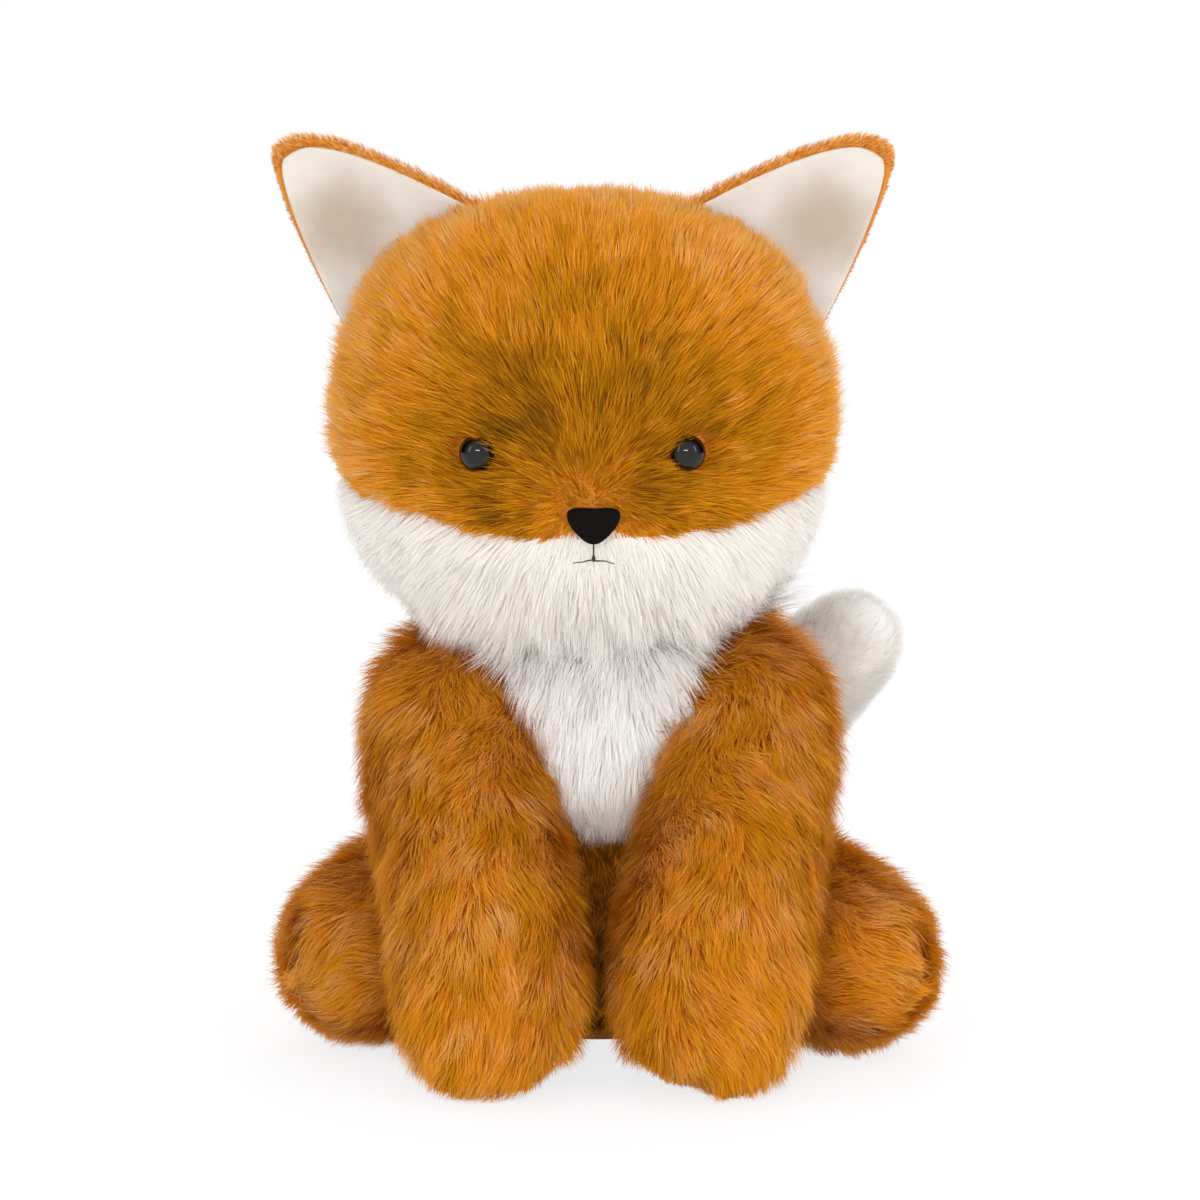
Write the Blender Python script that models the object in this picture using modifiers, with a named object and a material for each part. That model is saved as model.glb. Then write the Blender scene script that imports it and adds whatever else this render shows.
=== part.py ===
"""A plush fox that sits up, 24 cm tall: long-pile skins sewn from panels over soft stuffing.

Metres, +Z up. The fox faces -Y, and its own left side is at +X. The origin is the middle of
the seat panel's underside, on the surface that the fox sits on. Each limb turns on a ball at
its seam, and each moving piece hangs from an empty at the middle of its ball.
"""

import math

import bmesh
import bpy
from mathutils import Matrix, Vector
from mathutils.bvhtree import BVHTree

# Fits
GAP = 0.0003  # between pieces that are sewn or pressed together
PIVOT_GAP = 0.0007  # round the ball that a limb turns on
NECK_GAP = 0.0007  # between the head and the hollow of the body that it turns in
NECK_SETTLE = 0.0013  # how much less deep that hollow is than the head's outline before smoothing
STUFFING_GAP = 0.0012  # between a skin and the stuffing inside it
LIMB_STUFFING_GAP = 0.0034  # the same in a limb, whose stuffing has coarser faces
TAIL_STUFFING_GAP = 0.0055
FLAT_DEPTH = 0.0005  # how far the floor flattens each rounded underside
OVERRUN = 0.01  # how far a cutter passes what it cuts

# Fabric
SKIN = 0.0065  # backing and combed long pile together
EAR_PLUSH = 0.005  # backing and short pile of an ear's back
EAR_LINING = 0.0018

# Head, measured up from its own underside
HEAD_WIDTH = 0.132
HEAD_DEPTH = 0.114
HEAD_HEIGHT = 0.117
HEAD_FORWARD = 0.002
HEAD_ASIDE = -0.0044
HEAD_CHEEK_SHARE = 0.045
HEAD_PLAN_POWER = 2.2
HEAD_SIDE_POWER = 2.7
MUZZLE_SWELL = 0.009
MUZZLE_SPREAD = 0.027
MUZZLE_LEVEL = 0.037
STUFFED_MUZZLE_SHARE = 0.4
FACE_SEAM_LEVEL = 0.039
FACE_SEAM_TILT = math.radians(7)
NECK_RADIUS = 0.02

# Eyes, their shanks and washers
EYE_OUT = 0.0268
EYE_LEVEL = 0.054
EYE_RADIUS = 0.0047
EYE_DOME = 0.0044
EYE_SUNK = 0.0015
SHANK_RADIUS = 0.0015
SHANK_LENGTH = 0.0108
WASHER_RADIUS = 0.0055
WASHER_THICK = 0.0013
WASHER_SEAT = 0.0012  # how far the skin's inner face curves in over a washer

# Nose and mouth
NOSE_CAGE_WIDTH = 0.0275
NOSE_CAGE_HEIGHT = 0.0105
NOSE_CAGE_DEPTH = 0.0095
NOSE_FOOT = 0.0044
NOSE_LEVEL = 0.0365
NOSE_ASIDE = 0.0028
NOSE_FOOT_SHARE = 0.2
NOSE_SUNK = 0.0012
THREAD_RADIUS = 0.0006
MOUTH_DROP = 0.0044
MOUTH_HALF = 0.0052
MOUTH_SAG = 0.0013

# Ears, placed from the middle of the head
EAR_ROOT_OUT = 0.048
EAR_ROOT_UP = 0.040
EAR_ROOT_BACK = 0.003
EAR_LENGTH = 0.0505
EAR_WIDTH = 0.047
EAR_TURN = math.radians(48)
EAR_CUP = 0.005
EAR_RIM = 0.0034
EAR_TUCK = 0.008
EAR_ROUND_POWER = 0.55

# Body
BODY_WIDTH = 0.112
BODY_DEPTH = 0.088
BODY_BACK = 0.008
BODY_PLAN_POWER = 2.2
BODY_SIDE_POWER = 3.0
NECK_HEIGHT = 0.1085
NECK_TUCK = 0.02
BIB_HALF_WIDTH = 0.05
BIB_OVER_NECK = 0.0175
BIB_FOOT = 0.053
BIB_TAPER = 0.65

# Seat
SEAT_WIDTH = 0.06
SEAT_DEPTH = 0.064
SEAT_BACK = 0.014
SEAT_THICK = 0.005
SEAT_EDGE = 0.0015
BAG_DEPTH = 0.042
BAG_HEIGHT = 0.018
BAG_MARGIN = 0.003

# Arms, which are the front legs
SHOULDER_OUT = 0.038
SHOULDER_FORWARD = 0.014
SHOULDER_HEIGHT = 0.0884
SHOULDER_RADIUS = 0.0255
SHOULDER_WELL_SHARE = 0.68
ARM_WAIST = 0.0012
ARM_DROP = 0.022
ARM_STEP = 0.016
WRIST_RISE = 0.024
PAW_RADIUS = 0.026
PAW_PARTING = 0.003
PAW_FORWARD = 0.061

# Hind legs
HIP_OUT = 0.0485
HIP_BACK = 0.012
HIP_RADIUS = 0.028
FOOT_RADIUS = 0.0262
LEFT_FOOT_OUT = 0.0635
RIGHT_FOOT_OUT = 0.0595
LEFT_FOOT_FORWARD = 0.022
RIGHT_FOOT_FORWARD = 0.014
FOOT_SQUARENESS = 2.6

# Tail, whose tip is placed from the middle of its root
TAIL_ROOT_HEIGHT = 0.026
TAIL_ROOT_TUCK = 0.006
TAIL_ROOT_RADIUS = 0.0125
TAIL_BUSH = 0.0045
TAIL_TIP_RADIUS = 0.017
TAIL_TIP_OUT = 0.0685
TAIL_TIP_BACK = 0.020
TAIL_TIP_RISE = 0.0675
TAIL_SWEEP = 0.034
TAIL_LEAN = 0.030
TAIL_RISE = 0.034
TAIL_SEAM_SHARE = 0.53

# How far each limb turns at its seam: arms lift, legs splay, and the tail sways to either side
ARM_SWING = math.radians(25)
LEG_SWING = math.radians(11)
TAIL_LEFT_SWING = math.radians(20)
TAIL_RIGHT_SWING = math.radians(10)

# How a screen shows a colour: its brightest number, and the power that turns it to light
SCREEN_WHITE = 255
SCREEN_CURVE = 2.2

# Counts of faces, and the weight past which a skin's opening takes a point away
OPENING_WEIGHT = 0.75
MOUTH_ROWS = 4
DOME_POINTS = 5
HEAD_DIVISIONS = 4
BODY_DIVISIONS = 4
BAG_DIVISIONS = 2
LIMB_SIDES = 8
BALL_SIDES = 20
ROUND_SIDES = 32
TURN_STEPS = 24
PROFILE_POINTS = 10

# Worked out from the sizes above
HEAD_CENTRE = Vector((HEAD_ASIDE, -HEAD_FORWARD, NECK_HEIGHT + HEAD_HEIGHT / 2))
HEAD_HALF = Vector((HEAD_WIDTH, HEAD_DEPTH, HEAD_HEIGHT)) / 2
HEAD_REACH = max(HEAD_WIDTH / 2, HEAD_DEPTH / 2 + MUZZLE_SWELL)
BODY_HEIGHT = NECK_HEIGHT + NECK_TUCK + FLAT_DEPTH
BODY_CENTRE = Vector((0, BODY_BACK, BODY_HEIGHT / 2 - FLAT_DEPTH))
BODY_HALF = Vector((BODY_WIDTH, BODY_DEPTH, BODY_HEIGHT)) / 2
NECK_PIVOT = Vector((HEAD_ASIDE, -HEAD_FORWARD, NECK_HEIGHT))
TAIL_PIVOT = Vector((0, BODY_BACK + BODY_DEPTH / 2 - TAIL_ROOT_TUCK, TAIL_ROOT_HEIGHT))
SIDES = {"left": 1, "right": -1}


def clear_scene():
    for thing in list(bpy.data.objects):
        bpy.data.objects.remove(thing, do_unlink=True)


def new_collection(name):
    made = bpy.data.collections.new(name)
    bpy.context.scene.collection.children.link(made)
    return made


def material(name, colour, roughness, metallic=0.0):
    """A Principled material; the colour is red, green and blue as they look on a screen."""
    made = bpy.data.materials.new(name)
    made.use_nodes = True
    shader = made.node_tree.nodes["Principled BSDF"]
    linear = [(shade / SCREEN_WHITE) ** SCREEN_CURVE for shade in colour]
    shader.inputs["Base Color"].default_value = (*linear, 1)
    shader.inputs["Roughness"].default_value = roughness
    shader.inputs["Metallic"].default_value = metallic
    made.diffuse_color = (*linear, 1)
    return made


def empty_at(name, place):
    made = bpy.data.objects.new(name, None)
    made.empty_display_size = SHANK_LENGTH
    made.location = place
    PARTS.objects.link(made)
    return made


def finish_mesh(bm, name, pivot):
    """Turns the bmesh, drawn in world places, into a smooth mesh measured from the pivot."""
    bmesh.ops.recalc_face_normals(bm, faces=bm.faces)
    if bm.calc_volume(signed=True) < 0:
        bmesh.ops.reverse_faces(bm, faces=bm.faces)
    mesh = bpy.data.meshes.new(name)
    bm.to_mesh(mesh)
    bm.free()
    mesh.transform(Matrix.Translation(-pivot))
    mesh.shade_smooth()
    return mesh


def piece(name, mesh, look, hanger):
    """A named piece of the toy, hung from its pivot's empty."""
    made = bpy.data.objects.new(name, mesh)
    if not mesh.materials:
        mesh.materials.append(look)
    PARTS.objects.link(made)
    made.parent = hanger
    return made


def cutter(name, mesh, place=Vector()):
    made = bpy.data.objects.new(name, mesh)
    made.location = place
    made.display_type = "WIRE"
    made.hide_render = True
    CUTTERS.objects.link(made)
    return made


def smooth_cage(thing, levels=1):
    step = thing.modifiers.new("Subdivision", "SUBSURF")
    step.levels = levels
    step.render_levels = levels


def skin_of(thing, opening):
    """Makes a smooth skin, open round the cage point nearest to this world place."""
    mesh = thing.data
    local = opening - (thing.parent.location if thing.parent else Vector())
    nearest = min(mesh.vertices, key=lambda vert: (vert.co - local).length)
    group = thing.vertex_groups.new(name="opening")
    group.add([nearest.index], 1, "REPLACE")
    smooth_cage(thing)
    mask = thing.modifiers.new("Opening", "MASK")
    mask.vertex_group = group.name
    mask.invert_vertex_group = True
    mask.threshold = OPENING_WEIGHT
    step = thing.modifiers.new("Fabric", "SOLIDIFY")
    step.thickness = SKIN
    step.offset = -1


def combine(thing, others, operation="DIFFERENCE"):
    for other in others:
        step = thing.modifiers.new(other.name, "BOOLEAN")
        step.operation = operation
        step.solver = "MANIFOLD"
        step.object = other


def signed_power(value, power):
    return math.copysign(abs(value) ** power, value)


def swell(count):
    """How far a ring of this many cage points stands outside the round that it smooths to."""
    return 3 / (2 + math.cos(math.tau / count))


def ball_cage(divisions):
    """A ball of quads, made from a cube with this many faces along each edge."""
    bm = bmesh.new()
    bmesh.ops.create_cube(bm, size=2)
    bmesh.ops.subdivide_edges(bm, edges=bm.edges[:], cuts=divisions - 1, use_grid_fill=True)
    for vert in bm.verts:
        vert.co = Vector([math.tan(c * math.pi / 4) for c in vert.co]).normalized()
    return bm


def rounded_box(unit, half, plan_power, side_power):
    """A point of a unit ball moved onto a rounded box of these half sizes."""
    turn = math.atan2(unit.y, unit.x)
    out = math.hypot(unit.x, unit.y) ** (2 / side_power)
    return Vector((
        half.x * out * signed_power(math.cos(turn), 2 / plan_power),
        half.y * out * signed_power(math.sin(turn), 2 / plan_power),
        half.z * signed_power(unit.z, 2 / side_power),
    ))


def muzzle_swell(across, level):
    """How far the muzzle stands out of the round face at this place across and world height."""
    up = level - NECK_HEIGHT - MUZZLE_LEVEL
    aside = across - HEAD_CENTRE.x
    return MUZZLE_SWELL * math.exp(-(aside**2 + up**2) / MUZZLE_SPREAD**2)


def head_tree():
    """The head's outline as a thing that lines can be aimed at."""
    outline = cutter("head_outline", head_mesh("head_outline"), NECK_PIVOT)
    smooth_cage(outline)
    return BVHTree.FromObject(outline, bpy.context.evaluated_depsgraph_get())


def head_front(tree, across, level):
    """The point of the face at this place across and world height."""
    start = Vector((across, -HEAD_DEPTH, level)) - NECK_PIVOT
    return tree.ray_cast(start, Vector((0, 1, 0)))[0] + NECK_PIVOT


def face_direction(tree, across, level):
    """The direction that the face looks in, over the width of an eye."""
    sides = [head_front(tree, across + step, level) for step in (-EYE_RADIUS, EYE_RADIUS)]
    ends = [head_front(tree, across, level + step) for step in (-EYE_RADIUS, EYE_RADIUS)]
    return (sides[1] - sides[0]).cross(ends[1] - ends[0]).normalized()


def head_mesh(name, grow=0.0, cage=True):
    """The head's outline: a rounded box with the muzzle swelling out of its front."""
    bm = ball_cage(HEAD_DIVISIONS)
    half = HEAD_HALF + Vector((grow, grow, grow))
    if cage:
        half *= swell(4 * HEAD_DIVISIONS)
    for vert in bm.verts:
        place = rounded_box(vert.co, half, HEAD_PLAN_POWER, HEAD_SIDE_POWER)
        place.x *= 1 - HEAD_CHEEK_SHARE * place.z / half.z
        place += HEAD_CENTRE
        if place.y < HEAD_CENTRE.y:
            place.y -= muzzle_swell(place.x, place.z) * (1 if cage else STUFFED_MUZZLE_SHARE)
        vert.co = place
    return finish_mesh(bm, name, NECK_PIVOT)


def body_mesh(name, grow=0.0, cage=True):
    """The body's outline, an egg that is flattened where the fox sits."""
    bm = ball_cage(BODY_DIVISIONS)
    half = BODY_HALF + Vector((grow, grow, grow))
    if cage:
        half *= swell(4 * BODY_DIVISIONS)
    for vert in bm.verts:
        vert.co = BODY_CENTRE + rounded_box(vert.co, half, BODY_PLAN_POWER, BODY_SIDE_POWER)
    return finish_mesh(bm, name, Vector())


def bezier(points, share):
    a, b, c, d = points
    rest = 1 - share
    return a * rest**3 + b * 3 * rest**2 * share + c * 3 * rest * share**2 + d * share**3


def bezier_direction(points, share):
    a, b, c, d = points
    rest = 1 - share
    turned = (b - a) * rest**2 + (c - b) * 2 * rest * share + (d - c) * share**2
    return turned.normalized()


def limb_root(limb):
    """The middle of a limb's round end inside the body."""
    return limb["spine"][0] - bezier_direction(limb["spine"], 0) * limb["start"]


def limb_mesh(name, limb, pivot, grow=0.0, cage=True):
    """A stuffed limb with round ends: rings of points round a curved spine.

    A ball is drawn first. The rings of its middle half go along the spine, and those of its
    outer quarters make the two round ends.
    """
    bm = bmesh.new()
    bmesh.ops.create_uvsphere(bm, u_segments=LIMB_SIDES, v_segments=LIMB_SIDES, radius=1)
    for vert in bm.verts:
        latitude = math.asin(max(-1, min(1, vert.co.z))) / (math.pi / 2)
        share = max(0, min(1, latitude + 0.5))
        cap = max(0, abs(latitude) - 0.5) * math.pi
        turn = math.atan2(vert.co.y, vert.co.x) if cap < math.pi / 2 - math.radians(1) else 0
        radius = limb["start"] * (1 - share) + limb["end"] * share
        radius += limb["bulge"] * 4 * share * (1 - share)
        radius += grow
        if cage:
            radius *= swell(LIMB_SIDES)
        along = bezier_direction(limb["spine"], share)
        aside = along.cross(limb["across"]).normalized()
        over = aside.cross(along)
        outward = aside * math.cos(turn) + over * math.sin(turn)
        middle = bezier(limb["spine"], share)
        power = 2 / (limb["squareness"] if latitude > 0 else 2)
        end = along * math.copysign(abs(math.sin(cap)) ** power, latitude)
        vert.co = middle + (outward * abs(math.cos(cap)) ** power + end) * radius
    return finish_mesh(bm, name, pivot)


def ball_mesh(name, centre, radius):
    """A ball whose flat faces, not its corners, lie at the radius.

    It is turned by part of a face, so that no corner falls on the toy's middle plane.
    """
    bm = bmesh.new()
    flats = radius / math.cos(math.pi / BALL_SIDES)
    bmesh.ops.create_uvsphere(bm, u_segments=BALL_SIDES, v_segments=BALL_SIDES // 2, radius=flats)
    turn = Matrix.Rotation(math.pi / BALL_SIDES / 2, 4, "Z") @ Matrix.Rotation(math.pi / 2, 4, "Y")
    bm.transform(Matrix.Translation(centre) @ turn)
    return finish_mesh(bm, name, Vector())


def cylinder_mesh(name, radius, start, end, sides=BALL_SIDES):
    """A straight cylinder between two world places."""
    bm = bmesh.new()
    line = end - start
    bmesh.ops.create_cone(
        bm, cap_ends=True, segments=sides, radius1=radius, radius2=radius, depth=line.length
    )
    turn = line.to_track_quat("Z", "Y").to_matrix().to_4x4()
    bm.transform(Matrix.Translation((start + end) / 2) @ turn)
    return finish_mesh(bm, name, Vector())


def box_mesh(name, low, high):
    bm = bmesh.new()
    bmesh.ops.create_cube(bm, size=1)
    sides = high - low
    bm.transform(Matrix.Translation((low + high) / 2) @ Matrix.Diagonal((*sides, 1)))
    return finish_mesh(bm, name, Vector())


def turned_piece(thing, steps=BALL_SIDES):
    step = thing.modifiers.new("Turning", "SCREW")
    step.steps = steps
    step.render_steps = steps
    step.use_merge_vertices = True
    step.merge_threshold = GAP / 3
    step.use_smooth_shade = True


def profile_mesh(name, points, closed=False):
    """A profile of (radius, height) points, from the top down its outer side."""
    mesh = bpy.data.meshes.new(name)
    edges = [(i, i + 1) for i in range(len(points) - 1)]
    if closed:
        edges.append((len(points) - 1, 0))
    mesh.from_pydata([(r, 0, z) for r, z in points], edges, [])
    return mesh


def tube_mesh(name, points, radius, pivot):
    """A thread along these world places, with filled ends, as a closed mesh."""
    curve = bpy.data.curves.new(name, "CURVE")
    curve.dimensions = "3D"
    curve.bevel_depth = radius
    curve.bevel_resolution = 1
    curve.use_fill_caps = True
    spline = curve.splines.new("POLY")
    spline.points.add(len(points) - 1)
    for place, knot in zip(points, spline.points):
        knot.co = (*(place - pivot), 1)
    drawn = bpy.data.objects.new(name, curve)
    CUTTERS.objects.link(drawn)
    graph = bpy.context.evaluated_depsgraph_get()
    mesh = bpy.data.meshes.new_from_object(drawn.evaluated_get(graph))
    bpy.data.objects.remove(drawn, do_unlink=True)
    bm = bmesh.new()
    bm.from_mesh(mesh)
    bmesh.ops.remove_doubles(bm, verts=bm.verts, dist=radius / 100)
    bmesh.ops.recalc_face_normals(bm, faces=bm.faces)
    bm.to_mesh(mesh)
    bm.free()
    return mesh


def common_cutters():
    """What several pieces are cut by: the floor, the head's room to turn, the neck and the seat."""
    wide = BODY_WIDTH + FOOT_RADIUS * 4
    low = Vector((-wide, -wide, -FLAT_DEPTH - OVERRUN))
    floor = cutter("floor_below", box_mesh("floor_below", low, Vector((wide, wide, 0))))

    middle = HEAD_HALF.z + NECK_GAP - NECK_SETTLE
    reach = (HEAD_REACH + NECK_GAP) / math.cos(math.pi / TURN_STEPS)
    profile = [(0, HEAD_HEIGHT), (reach, HEAD_HEIGHT)]
    for i in range(PROFILE_POINTS + 1):
        angle = i / PROFILE_POINTS * math.pi / 2
        out = math.cos(angle) ** (2 / HEAD_SIDE_POWER)
        down = math.sin(angle) ** (2 / HEAD_SIDE_POWER)
        wider = 1 + HEAD_CHEEK_SHARE * down
        profile.append((reach * wider * out, -middle * down))
    room = cutter("head_room", profile_mesh("head_room", profile), HEAD_CENTRE)
    room.rotation_euler.z = math.pi / TURN_STEPS
    turned_piece(room, TURN_STEPS)

    low = NECK_PIVOT - Vector((0, 0, SKIN * 2 + OVERRUN))
    high = NECK_PIVOT + Vector((0, 0, SKIN + OVERRUN))
    neck = cutter("neck_opening", cylinder_mesh("neck_opening", NECK_RADIUS, low, high))
    return floor, room, neck


def oval_mesh(name, back, half_width, half_depth, low, high):
    """An upright oval prism, this far back and between two heights."""
    bm = bmesh.new()
    bmesh.ops.create_cone(
        bm, cap_ends=True, segments=ROUND_SIDES, radius1=1, radius2=1, depth=1
    )
    place = Vector((0, back, (low + high) / 2))
    sides = (half_width, half_depth, high - low, 1)
    bm.transform(Matrix.Translation(place) @ Matrix.Diagonal(sides))
    return finish_mesh(bm, name, Vector())


def seat_mesh(name, grow, low, high):
    """The oval of the seat between two heights."""
    return oval_mesh(name, SEAT_BACK, SEAT_WIDTH / 2 + grow, SEAT_DEPTH / 2 + grow, low, high)


def bib_mesh(name, grow):
    """The bib's outline, wide at the chest and pointed below, drawn through the front skin."""
    top = NECK_HEIGHT + BIB_OVER_NECK
    half = (top - BIB_FOOT) / 2 + grow
    middle = (top + BIB_FOOT) / 2
    front = BODY_BACK - BODY_DEPTH / 2 - OVERRUN
    bm = bmesh.new()
    bmesh.ops.create_circle(bm, cap_ends=True, segments=ROUND_SIDES, radius=1)
    for vert in bm.verts:
        share = ((1 + vert.co.y) / 2) ** BIB_TAPER
        across = vert.co.x * share * (BIB_HALF_WIDTH + grow)
        vert.co = Vector((across, front, middle + vert.co.y * half))
    extruded = bmesh.ops.extrude_face_region(bm, geom=bm.faces[:])
    moved = [part for part in extruded["geom"] if isinstance(part, bmesh.types.BMVert)]
    bmesh.ops.translate(bm, verts=moved, vec=(0, -SHOULDER_FORWARD / 2 - front, 0))
    return finish_mesh(bm, name, Vector())


def limbs():
    """The five limbs: each one's spine, radii, pivot and the axis that its rings are set by."""
    found = {}
    for side, sign in SIDES.items():
        shoulder = Vector((sign * SHOULDER_OUT, -SHOULDER_FORWARD, SHOULDER_HEIGHT))
        paw_out = PAW_RADIUS + PAW_PARTING / 2
        paw = Vector((sign * paw_out, -PAW_FORWARD, PAW_RADIUS - FLAT_DEPTH))
        below = shoulder - Vector((0, ARM_STEP, ARM_DROP))
        wrist = paw + Vector((0, 0, WRIST_RISE))
        found[f"{side}_arm"] = {
            "spine": (shoulder, below, wrist, paw),
            "start": SHOULDER_RADIUS,
            "end": PAW_RADIUS,
            "bulge": -ARM_WAIST,
            "squareness": FOOT_SQUARENESS,
            "slack": LIMB_STUFFING_GAP,
            "across": Vector((sign, 0, 0)),
            "axis": Vector((-1, 0, 0)),
            "swings": (ARM_SWING / 2, ARM_SWING),
        }
        foot_out = LEFT_FOOT_OUT if side == "left" else RIGHT_FOOT_OUT
        foot_forward = LEFT_FOOT_FORWARD if side == "left" else RIGHT_FOOT_FORWARD
        hip = Vector((sign * HIP_OUT, HIP_BACK, HIP_RADIUS - FLAT_DEPTH))
        foot = Vector((sign * foot_out, -foot_forward, FOOT_RADIUS - FLAT_DEPTH))
        found[f"{side}_leg"] = {
            "spine": (hip, hip.lerp(foot, 1 / 3), hip.lerp(foot, 2 / 3), foot),
            "start": HIP_RADIUS,
            "end": FOOT_RADIUS,
            "bulge": 0.0,
            "squareness": FOOT_SQUARENESS,
            "slack": LIMB_STUFFING_GAP,
            "across": Vector((0, 0, 1)),
            "axis": Vector((0, 0, sign)),
            "swings": (LEG_SWING,),
        }
    tip = TAIL_PIVOT + Vector((TAIL_TIP_OUT, TAIL_TIP_BACK, TAIL_TIP_RISE))
    behind = TAIL_PIVOT + Vector((0, TAIL_SWEEP, 0))
    under = tip + Vector((-TAIL_LEAN, TAIL_SWEEP / 2, -TAIL_RISE))
    found["tail"] = {
        "spine": (TAIL_PIVOT, behind, under, tip),
        "start": TAIL_ROOT_RADIUS,
        "end": TAIL_TIP_RADIUS,
        "bulge": TAIL_BUSH,
        "squareness": 2,
        "slack": TAIL_STUFFING_GAP,
        "across": Vector((0, 0, 1)),
        "axis": Vector((0, 0, 1)),
        "swings": (TAIL_LEFT_SWING, -TAIL_RIGHT_SWING),
    }
    return found


def limb_sockets(found):
    """The round hollow that each limb turns in."""
    sockets = {}
    for name, limb in found.items():
        socket = ball_mesh(f"{name}_socket", limb["spine"][0], limb["start"] + PIVOT_GAP)
        sockets[name] = cutter(f"{name}_socket", socket)
    return sockets


def shoulder_wells(found):
    """The open top of each shoulder's hollow, up to the head."""
    wells = []
    for side in SIDES:
        low = found[f"{side}_arm"]["spine"][0]
        high = Vector((low.x, low.y, NECK_HEIGHT + OVERRUN))
        name = f"{side}_shoulder_well"
        mesh = cylinder_mesh(name, SHOULDER_RADIUS * SHOULDER_WELL_SHARE, low, high)
        wells.append(cutter(name, mesh))
    return wells


def body_rooms(name, limb):
    """The body's room outside the limb's ball, as the limb meets it at rest and when turned.

    Each ball is a little larger than the last, so that no two cuts share a face.
    """
    pivot = limb["spine"][0]
    rooms = []
    for i, swing in enumerate((0, *limb["swings"])):
        radius = limb["start"] + i * PIVOT_GAP / 8
        ball = cutter(f"{name}_ball_{i}", ball_mesh(f"{name}_ball_{i}", pivot, radius))
        mesh = body_mesh(f"{name}_body_room_{i}", GAP)
        turn = Matrix.Rotation(-swing, 4, limb["axis"])
        mesh.transform(Matrix.Translation(pivot) @ turn @ Matrix.Translation(-pivot))
        room = cutter(mesh.name, mesh)
        smooth_cage(room)
        combine(room, [ball])
        rooms.append(room)
    return rooms


def inside_body_skin():
    """The body's inner outline, where a limb's skin ends at its seam."""
    name = "inside_body_skin"
    if name not in bpy.data.objects:
        smooth_cage(cutter(name, body_mesh(name, -SKIN)))
    return bpy.data.objects[name]


def arm_room(name, found):
    """An arm's outline with room round it, which the leg beside it is cut by."""
    limb = found[name]
    made = cutter(f"{name}_room", limb_mesh(f"{name}_room", limb, Vector(), GAP))
    smooth_cage(made)
    return made


def add_limb(name, limb, hanger, cuts, looks):
    """A limb's skin, open at its seam, and the stuffing inside it."""
    pivot = hanger.location
    skin = piece(f"{name}_skin", limb_mesh(f"{name}_skin", limb, pivot), looks["fur"], hanger)
    skin_of(skin, limb_root(limb))
    mesh = limb_mesh(f"{name}_stuffing", limb, pivot, -SKIN - limb["slack"], cage=False)
    stuffing = piece(f"{name}_stuffing", mesh, looks["stuffing"], hanger)
    combine(skin, cuts)
    combine(stuffing, cuts[1:])
    return skin


def add_tail_tip(limb, skin, hanger, looks):
    """Parts the tail's skin at its colour seam into the root and the tip."""
    middle = bezier(limb["spine"], TAIL_SEAM_SHARE)
    along = bezier_direction(limb["spine"], TAIL_SEAM_SHARE)
    wide = TAIL_TIP_OUT + TAIL_TIP_RADIUS
    deep = TAIL_TIP_OUT + TAIL_TIP_RISE
    mesh = cylinder_mesh("past_seam", wide, middle - along * (GAP / 2), middle + along * deep)
    past = cutter("past_seam", mesh)
    mesh = cylinder_mesh("before_seam", wide, middle + along * (GAP / 2), middle - along * deep)
    before = cutter("before_seam", mesh)
    mesh = limb_mesh("tail_tip_skin", limb, hanger.location)
    tip = piece("tail_tip_skin", mesh, looks["white_short"], hanger)
    skin_of(tip, limb_root(limb))
    combine(skin, [past])
    combine(tip, [before])


def bag_place(grow):
    """The middle and half sizes of the bag, which lies in front of the tail's root."""
    half_width = HIP_OUT - HIP_RADIUS - BAG_MARGIN
    half = Vector((half_width + grow, BAG_DEPTH / 2 + grow, BAG_HEIGHT / 2 + grow))
    back = TAIL_PIVOT.y - TAIL_ROOT_RADIUS - BAG_DEPTH / 2
    return Vector((0, back, SEAT_THICK + GAP + BAG_HEIGHT / 2)), half


def bag_mesh(name, grow):
    """The bag of pellets, on the seat panel between the hips."""
    centre, half = bag_place(grow)
    bm = ball_cage(BAG_DIVISIONS)
    for vert in bm.verts:
        scaled = half * swell(4 * BAG_DIVISIONS)
        vert.co = centre + rounded_box(vert.co, scaled, BODY_PLAN_POWER, BODY_PLAN_POWER)
    return finish_mesh(bm, name, Vector())


def under_bag_mesh(name):
    """The room straight below the bag's widest part, which holds no stuffing."""
    centre, half = bag_place(STUFFING_GAP)
    return oval_mesh(name, centre.y, half.x, half.y, -OVERRUN, centre.z)


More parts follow.
